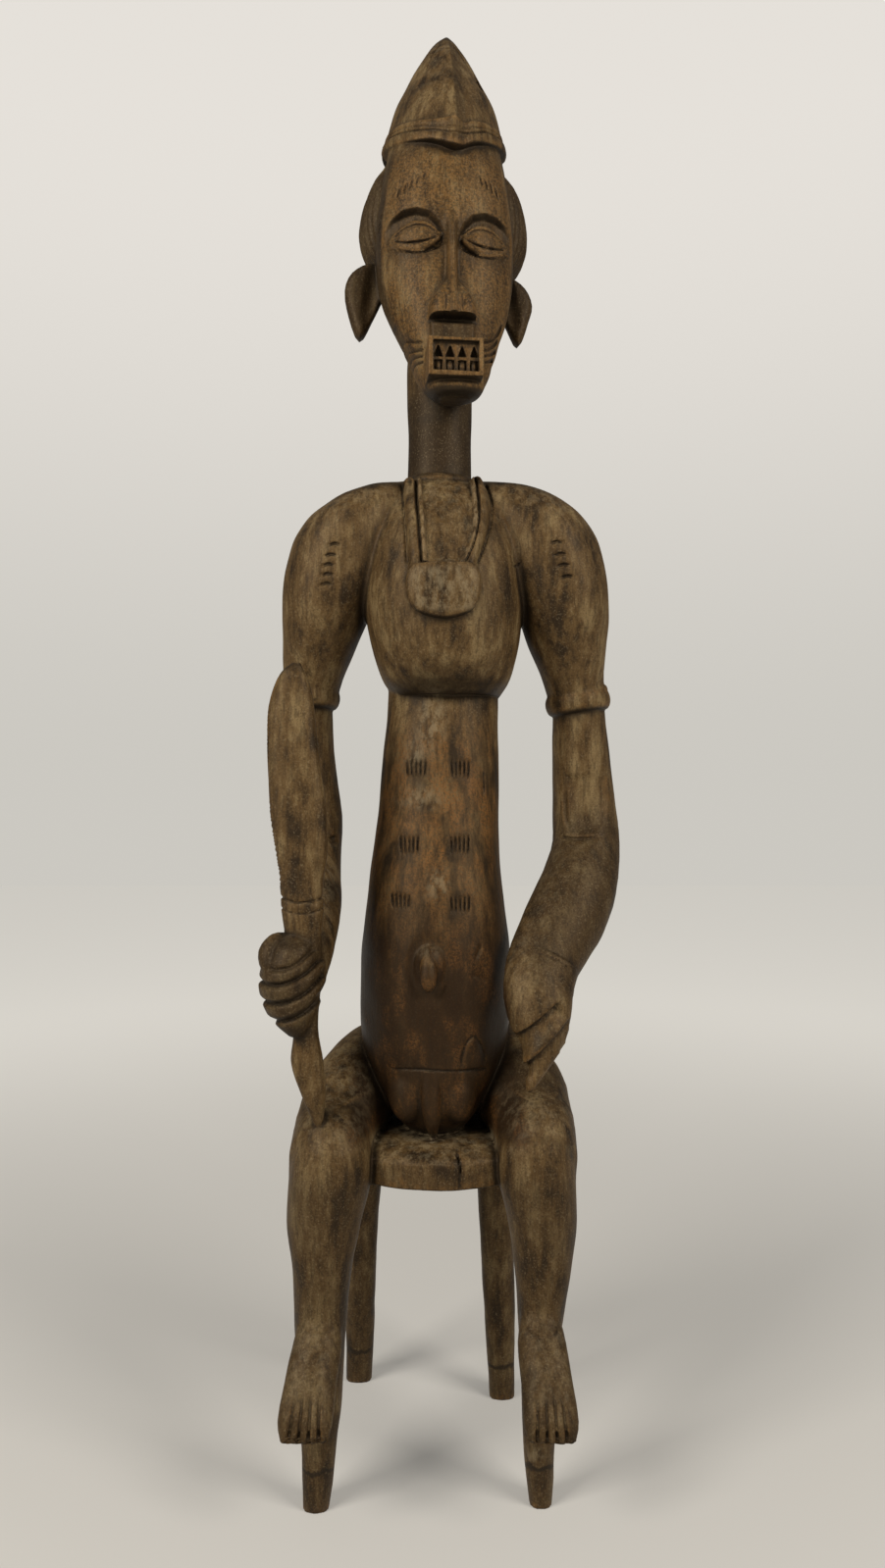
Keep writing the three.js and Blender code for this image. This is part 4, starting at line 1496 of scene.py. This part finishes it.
def settle(piece, field):
    """Moves the thinned mesh's points onto the surface, and notes on them what the wood depends on."""
    mesh = piece.data
    points = np.empty(len(mesh.vertices) * 3, np.float32)
    mesh.vertices.foreach_get("co", points)
    points = points.reshape(-1, 3).T
    outward = gradient(field, points)
    points = points - outward * np.clip(in_parts(field, points), -0.5, 0.5)
    # How shut in each point is by the surface outside it; the wood paints this as shade in recesses.
    hollow = np.zeros(points.shape[1], np.float32)
    for depth in (1.4, 3.0, 5.0, 10.0):
        hollow += np.clip(1 - in_parts(field, points + outward * depth) / depth, 0, 1) / 4
    worn = np.zeros(points.shape[1], np.float32)
    for depth in (3.0, 6.0):
        worn += np.clip(1 + in_parts(field, points - outward * depth) / depth, 0, 1) / 2
    x, y, z = points
    across = x * math.cos(HEAD_TURN) + y * math.sin(HEAD_TURN)
    front = smooth((-34 - y * math.cos(HEAD_TURN) + x * math.sin(HEAD_TURN)) / 8)
    lip = smooth((20.5 - np.abs(across)) / 2) * within(z, MOUTH_TOP, NOSE_TIP + 1, 3, 3)
    belly = within(x, -82, 55 + 0.15 * np.abs(z - NAVEL), 8, 8) * smooth((-10 - y) / 30)
    # Of these notes, hollow is painted as shade in recesses, and dark holds painted shade along with darker
    # marks.
    notes = {
        "hollow": hollow,
        "worn": worn,
        "face": front * within(z, 936, 1172, 14, 16) * (1 - lip),
        "dark": shade_and_dark_marks(x, y, z, across, front, lip),
        "belly": belly * within(z, SEAT_TOP, WAIST, 12, 60),
        "dust": dust(x, y, z, hollow),
    }
    for name, value in notes.items():
        note = mesh.attributes.new(name, "FLOAT", "POINT")
        note.data.foreach_set("value", value)
    shift = np.array([[NECK_AXIS[0]], [NECK_AXIS[1]], [0.0]])
    low = np.array(cad_low)[:, None]
    high = np.array(cad_high)[:, None]
    metres = np.clip((points + shift) * 0.001, low, high)
    mesh.vertices.foreach_set("co", metres.T.astype(np.float32).ravel())
    mesh.update()
    mesh.shade_smooth()


# Material

class Nodes:
    """Short ways to add and join the nodes of one material."""

    def __init__(self, tree):
        self.tree = tree

    def add(self, kind, settings=None, **sockets):
        """A node with its settings, and values or links for the sockets named with underscores."""
        node = self.tree.nodes.new(kind)
        for name, value in (settings or {}).items():
            setattr(node, name, value)
        for name, value in sockets.items():
            self.feed(node.inputs[name.replace("_", " ")], value)
        return node

    def feed(self, socket, value):
        """Links an output to a socket, or sets the socket's own value."""
        if isinstance(value, bpy.types.NodeSocket):
            self.tree.links.new(value, socket)
        else:
            socket.default_value = value

    def maths(self, operation, *values, clamp=False):
        """A sum, product or the like of up to three values."""
        node = self.add("ShaderNodeMath", {"operation": operation, "use_clamp": clamp})
        for socket, value in zip(node.inputs, values):
            self.feed(socket, value)
        return node.outputs[0]

    def ramp(self, value, low, high):
        """Zero below low and one above high."""
        settings = {"interpolation_type": "SMOOTHSTEP"}
        node = self.add("ShaderNodeMapRange", settings, Value=value, From_Min=low, From_Max=high)
        return node.outputs["Result"]

    def mix(self, share, a, b):
        """The first colour, with a share of the second over it."""
        node = self.add("ShaderNodeMix", {"data_type": "RGBA"})
        self.feed(node.inputs[0], share)
        self.feed(node.inputs[6], a)
        self.feed(node.inputs[7], b)
        return node.outputs[2]

    def noise(self, place, scale, detail, roughness, upright=1):
        """Noise between 0 and 1, drawn out along the grain where upright is below 1."""
        mapping = self.add("ShaderNodeMapping", Vector=place, Scale=(1, 1, upright))
        noise = self.add(
            "ShaderNodeTexNoise",
            Vector=mapping.outputs[0],
            Scale=scale,
            Detail=detail,
            Roughness=roughness,
        )
        return noise.outputs[0]


def wood():
    """Dark handled wood: upright grain, worn high spots and a greyish bloom, with painted shade in recesses,
    on undersides and at noted places.
    """
    material = bpy.data.materials.new("old carved wood")
    material.use_nodes = True
    tree = material.node_tree
    tree.nodes.clear()
    nodes = Nodes(tree)

    def note(name):
        """What was noted on the mesh's points under a name."""
        return nodes.add("ShaderNodeAttribute", {"attribute_name": name}).outputs["Fac"]

    def share(*amounts):
        """Several amounts multiplied together."""
        total = amounts[0]
        for amount in amounts[1:]:
            total = nodes.maths("MULTIPLY", total, amount)
        return total

    ramp = nodes.ramp
    place = nodes.add("ShaderNodeTexCoord").outputs["Object"]
    parts = nodes.add("ShaderNodeSeparateXYZ", Vector=place)
    height = parts.outputs["Z"]
    normal = nodes.add("ShaderNodeNewGeometry").outputs["Normal"]
    upward = nodes.add("ShaderNodeSeparateXYZ", Vector=normal).outputs["Z"]
    grain = nodes.noise(place, 330.0, 4.0, 0.6, 0.16)
    streaks = nodes.noise(place, 85.0, 5.0, 0.65, 0.22)
    patches = nodes.noise(place, 13.0, 5.0, 0.6, 0.7)
    clouds = nodes.noise(place, 42.0, 5.0, 0.65, 0.6)
    mottle = nodes.noise(place, 150.0, 4.0, 0.7, 0.6)
    fine = nodes.noise(place, 460.0, 4.0, 0.75)
    speckle = nodes.noise(place, 620.0, 3.0, 0.7)

    brown = (0.080, 0.046, 0.017, 1)
    dark = (0.017, 0.0098, 0.0045, 1)
    olive = (0.158, 0.107, 0.048, 1)
    warm = (0.017, 0.0075, 0.0026, 1)
    rust = (0.150, 0.066, 0.018, 1)
    glow = (0.120, 0.050, 0.013, 1)
    golden = (0.160, 0.080, 0.023, 1)
    bloom = (0.250, 0.195, 0.115, 1)
    black = (0.010, 0.007, 0.0045, 1)

    tone = nodes.maths("ADD", share(clouds, 0.36), share(streaks, 0.40))
    tone = nodes.maths("ADD", tone, share(patches, 0.24))
    neck = share(ramp(height, 0.888, 0.900), ramp(height, 0.985, 0.955))
    neck = share(neck, ramp(parts.outputs["Y"], -0.045, -0.020))
    belly = note("belly")
    low_belly = share(belly, ramp(height, 0.555, 0.455))
    belly = share(belly, ramp(patches, 0.26, 0.46))
    upper_belly = nodes.maths("SUBTRACT", belly, low_belly, clamp=True)
    face = note("face")
    # Painted shade and darker marks, noted on the mesh as dark.
    shade_and_dark = note("dark")
    kept_light = nodes.maths("SUBTRACT", 1.0, share(shade_and_dark, 0.80))
    top_faces = share(ramp(upward, 0.15, 0.75), ramp(mottle, 0.42, 0.62), kept_light)
    high_spots = share(ramp(note("worn"), 0.06, 0.35), ramp(mottle, 0.36, 0.60), kept_light)
    specks = nodes.maths("SUBTRACT", 0.30, share(belly, 0.26))
    tide = nodes.maths("ADD", nodes.maths("MULTIPLY_ADD", clouds, 0.030, -0.052), height)
    tide = nodes.maths("ABSOLUTE", tide)
    under_seat = ramp(height, SEAT_TOP * 0.001, SEAT_UNDER * 0.001)
    layers = [
        (brown, ramp(tone, 0.40, 0.51)),
        (olive, ramp(tone, 0.49, 0.60)),
        (dark, share(under_seat, 0.35)),
        # The neck's dark patina, with the head's shadow painted over it.
        (dark, share(neck, 0.90)),
        (warm, share(low_belly, 0.92)),
        (dark, share(upper_belly, 0.40)),
        (rust, share(upper_belly, ramp(streaks, 0.40, 0.60), ramp(fine, 0.36, 0.58), 0.85)),
        (glow, share(low_belly, ramp(clouds, 0.46, 0.64), ramp(fine, 0.40, 0.60), 0.55)),
        (golden, share(face, ramp(fine, 0.42, 0.60), 0.60)),
        (dark, share(face, ramp(fine, 0.50, 0.38), 0.5)),
        # Painted shade and darker marks.
        (dark, share(shade_and_dark, 0.72)),
        (bloom, share(top_faces, 0.26)),
        (golden, share(high_spots, 0.45)),
        (dark, share(ramp(grain, 0.52, 0.36), 0.45)),
        (bloom, share(ramp(speckle, 0.54, 0.70), specks)),
        (black, share(ramp(speckle, 0.47, 0.32), 0.55)),
        # Painted shade in recesses.
        (black, share(ramp(note("hollow"), 0.06, 0.55), 0.84)),
        # Painted shade on faces that turn downwards.
        (black, share(ramp(upward, -0.35, -0.90), 0.84)),
        (bloom, share(note("dust"), ramp(mottle, 0.40, 0.62), 0.42)),
        (black, share(ramp(tide, 0.0038, 0.0008), 0.85)),
    ]
    colour = dark
    for layer, amount in layers:
        colour = nodes.mix(amount, colour, layer)

    relief = nodes.maths("ADD", share(grain, 0.5), share(speckle, 0.4))
    relief = nodes.maths("ADD", relief, share(mottle, 0.8))
    bump = nodes.add("ShaderNodeBump", Strength=0.45, Distance=0.0009, Height=relief)
    shader = nodes.add(
        "ShaderNodeBsdfPrincipled",
        Base_Color=colour,
        Roughness=nodes.maths("MULTIPLY_ADD", clouds, 0.30, 0.40),
        Normal=bump.outputs[0],
    )
    shader.inputs["Specular IOR Level"].default_value = 0.22
    shader.inputs["Specular Tint"].default_value = (1.0, 0.80, 0.58, 1)
    output = nodes.add("ShaderNodeOutputMaterial")
    tree.links.new(shader.outputs[0], output.inputs["Surface"])
    return material


# Studio

# The tone at the horizon, on the floor and above it.
FAR_TONE = (0.600, 0.580, 0.535, 1)

# The camera's place in metres, and its lens and sensor in millimetres.
CAMERA_PLACE = (-0.0052, -1.0788, 0.6127)
LENS = 27.04
SENSOR = 36


def floor():
    """A wide pale floor that the figure stands on, which keeps its tone as it runs back."""
    half = 6.0
    corners = [(-half, -half, 0), (half, -half, 0), (half, half, 0), (-half, half, 0)]
    mesh = bpy.data.meshes.new("floor")
    mesh.from_pydata(corners, [], [(0, 1, 2, 3)])
    material = bpy.data.materials.new("pale floor")
    material.use_nodes = True
    nodes = Nodes(material.node_tree)
    place = nodes.add("ShaderNodeTexCoord").outputs["Object"]
    away = nodes.add("ShaderNodeVectorMath", {"operation": "LENGTH"})
    nodes.feed(away.inputs[0], place)
    glow = nodes.ramp(away.outputs["Value"], 0.1, 2.4)
    shader = material.node_tree.nodes["Principled BSDF"]
    shader.inputs["Base Color"].default_value = (0.50, 0.485, 0.455, 1)
    shader.inputs["Roughness"].default_value = 0.85
    shader.inputs["Emission Color"].default_value = FAR_TONE
    nodes.feed(shader.inputs["Emission Strength"], nodes.maths("MULTIPLY_ADD", glow, 0.58, 0.28))
    mesh.materials.append(material)
    piece = bpy.data.objects.new("floor", mesh)
    bpy.context.scene.collection.objects.link(piece)
    piece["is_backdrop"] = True


def lamp(name, place, power):
    """A square soft warm light that faces the figure's chest."""
    aim = (0, 0, 0.9)
    data = bpy.data.lights.new(name, "AREA")
    data.size = 1.0
    data.energy = power
    data.color = (1.0, 0.955, 0.89)
    piece = bpy.data.objects.new(name, data)
    way = np.array(aim) - np.array(place)
    rise = math.atan2(way[2], math.hypot(way[0], way[1]))
    turn = math.atan2(way[1], way[0])
    piece.location = place
    piece.rotation_euler = (math.pi / 2 + rise, 0, turn - math.pi / 2)
    bpy.context.scene.collection.objects.link(piece)


def studio():
    """Floor, two soft lamps in front, pale surroundings and the camera."""
    floor()
    lamp("left lamp", (-1.5, -1.5, 1.75), 46)
    lamp("right lamp", (1.55, -1.4, 1.75), 37)
    world = bpy.data.worlds.new("pale room")
    world.use_nodes = True
    nodes = Nodes(world.node_tree)
    background = world.node_tree.nodes["Background"]
    direction = nodes.add("ShaderNodeTexCoord").outputs["Generated"]
    upward = nodes.add("ShaderNodeSeparateXYZ", Vector=direction).outputs["Z"]
    sky = nodes.mix(nodes.ramp(upward, 0.0, 0.5), FAR_TONE, (0.785, 0.750, 0.700, 1))
    seen = nodes.add("ShaderNodeLightPath").outputs["Is Camera Ray"]
    nodes.feed(background.inputs["Color"], sky)
    nodes.feed(background.inputs["Strength"], nodes.maths("MULTIPLY_ADD", seen, 0.80, 0.20))
    bpy.context.scene.world = world
    bpy.context.scene.view_settings.view_transform = "Standard"
    data = bpy.data.cameras.new("camera")
    data.lens = LENS
    data.sensor_width = SENSOR
    camera = bpy.data.objects.new("camera", data)
    camera.location = CAMERA_PLACE
    camera.rotation_euler = (math.pi / 2, 0, 0)
    bpy.context.scene.collection.objects.link(camera)
    bpy.context.scene.camera = camera


figure_field = whole_figure()
carving = build_mesh("figure_carving", figure_field, Grid(figure_field.low, figure_field.high))
settle(carving, figure_field)
carving.data.materials.append(wood())
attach(carving, "root")
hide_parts("figure")
studio()

boxes = [[list(v) for v in (cad_low, cad_high)], [list(v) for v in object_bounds()]]
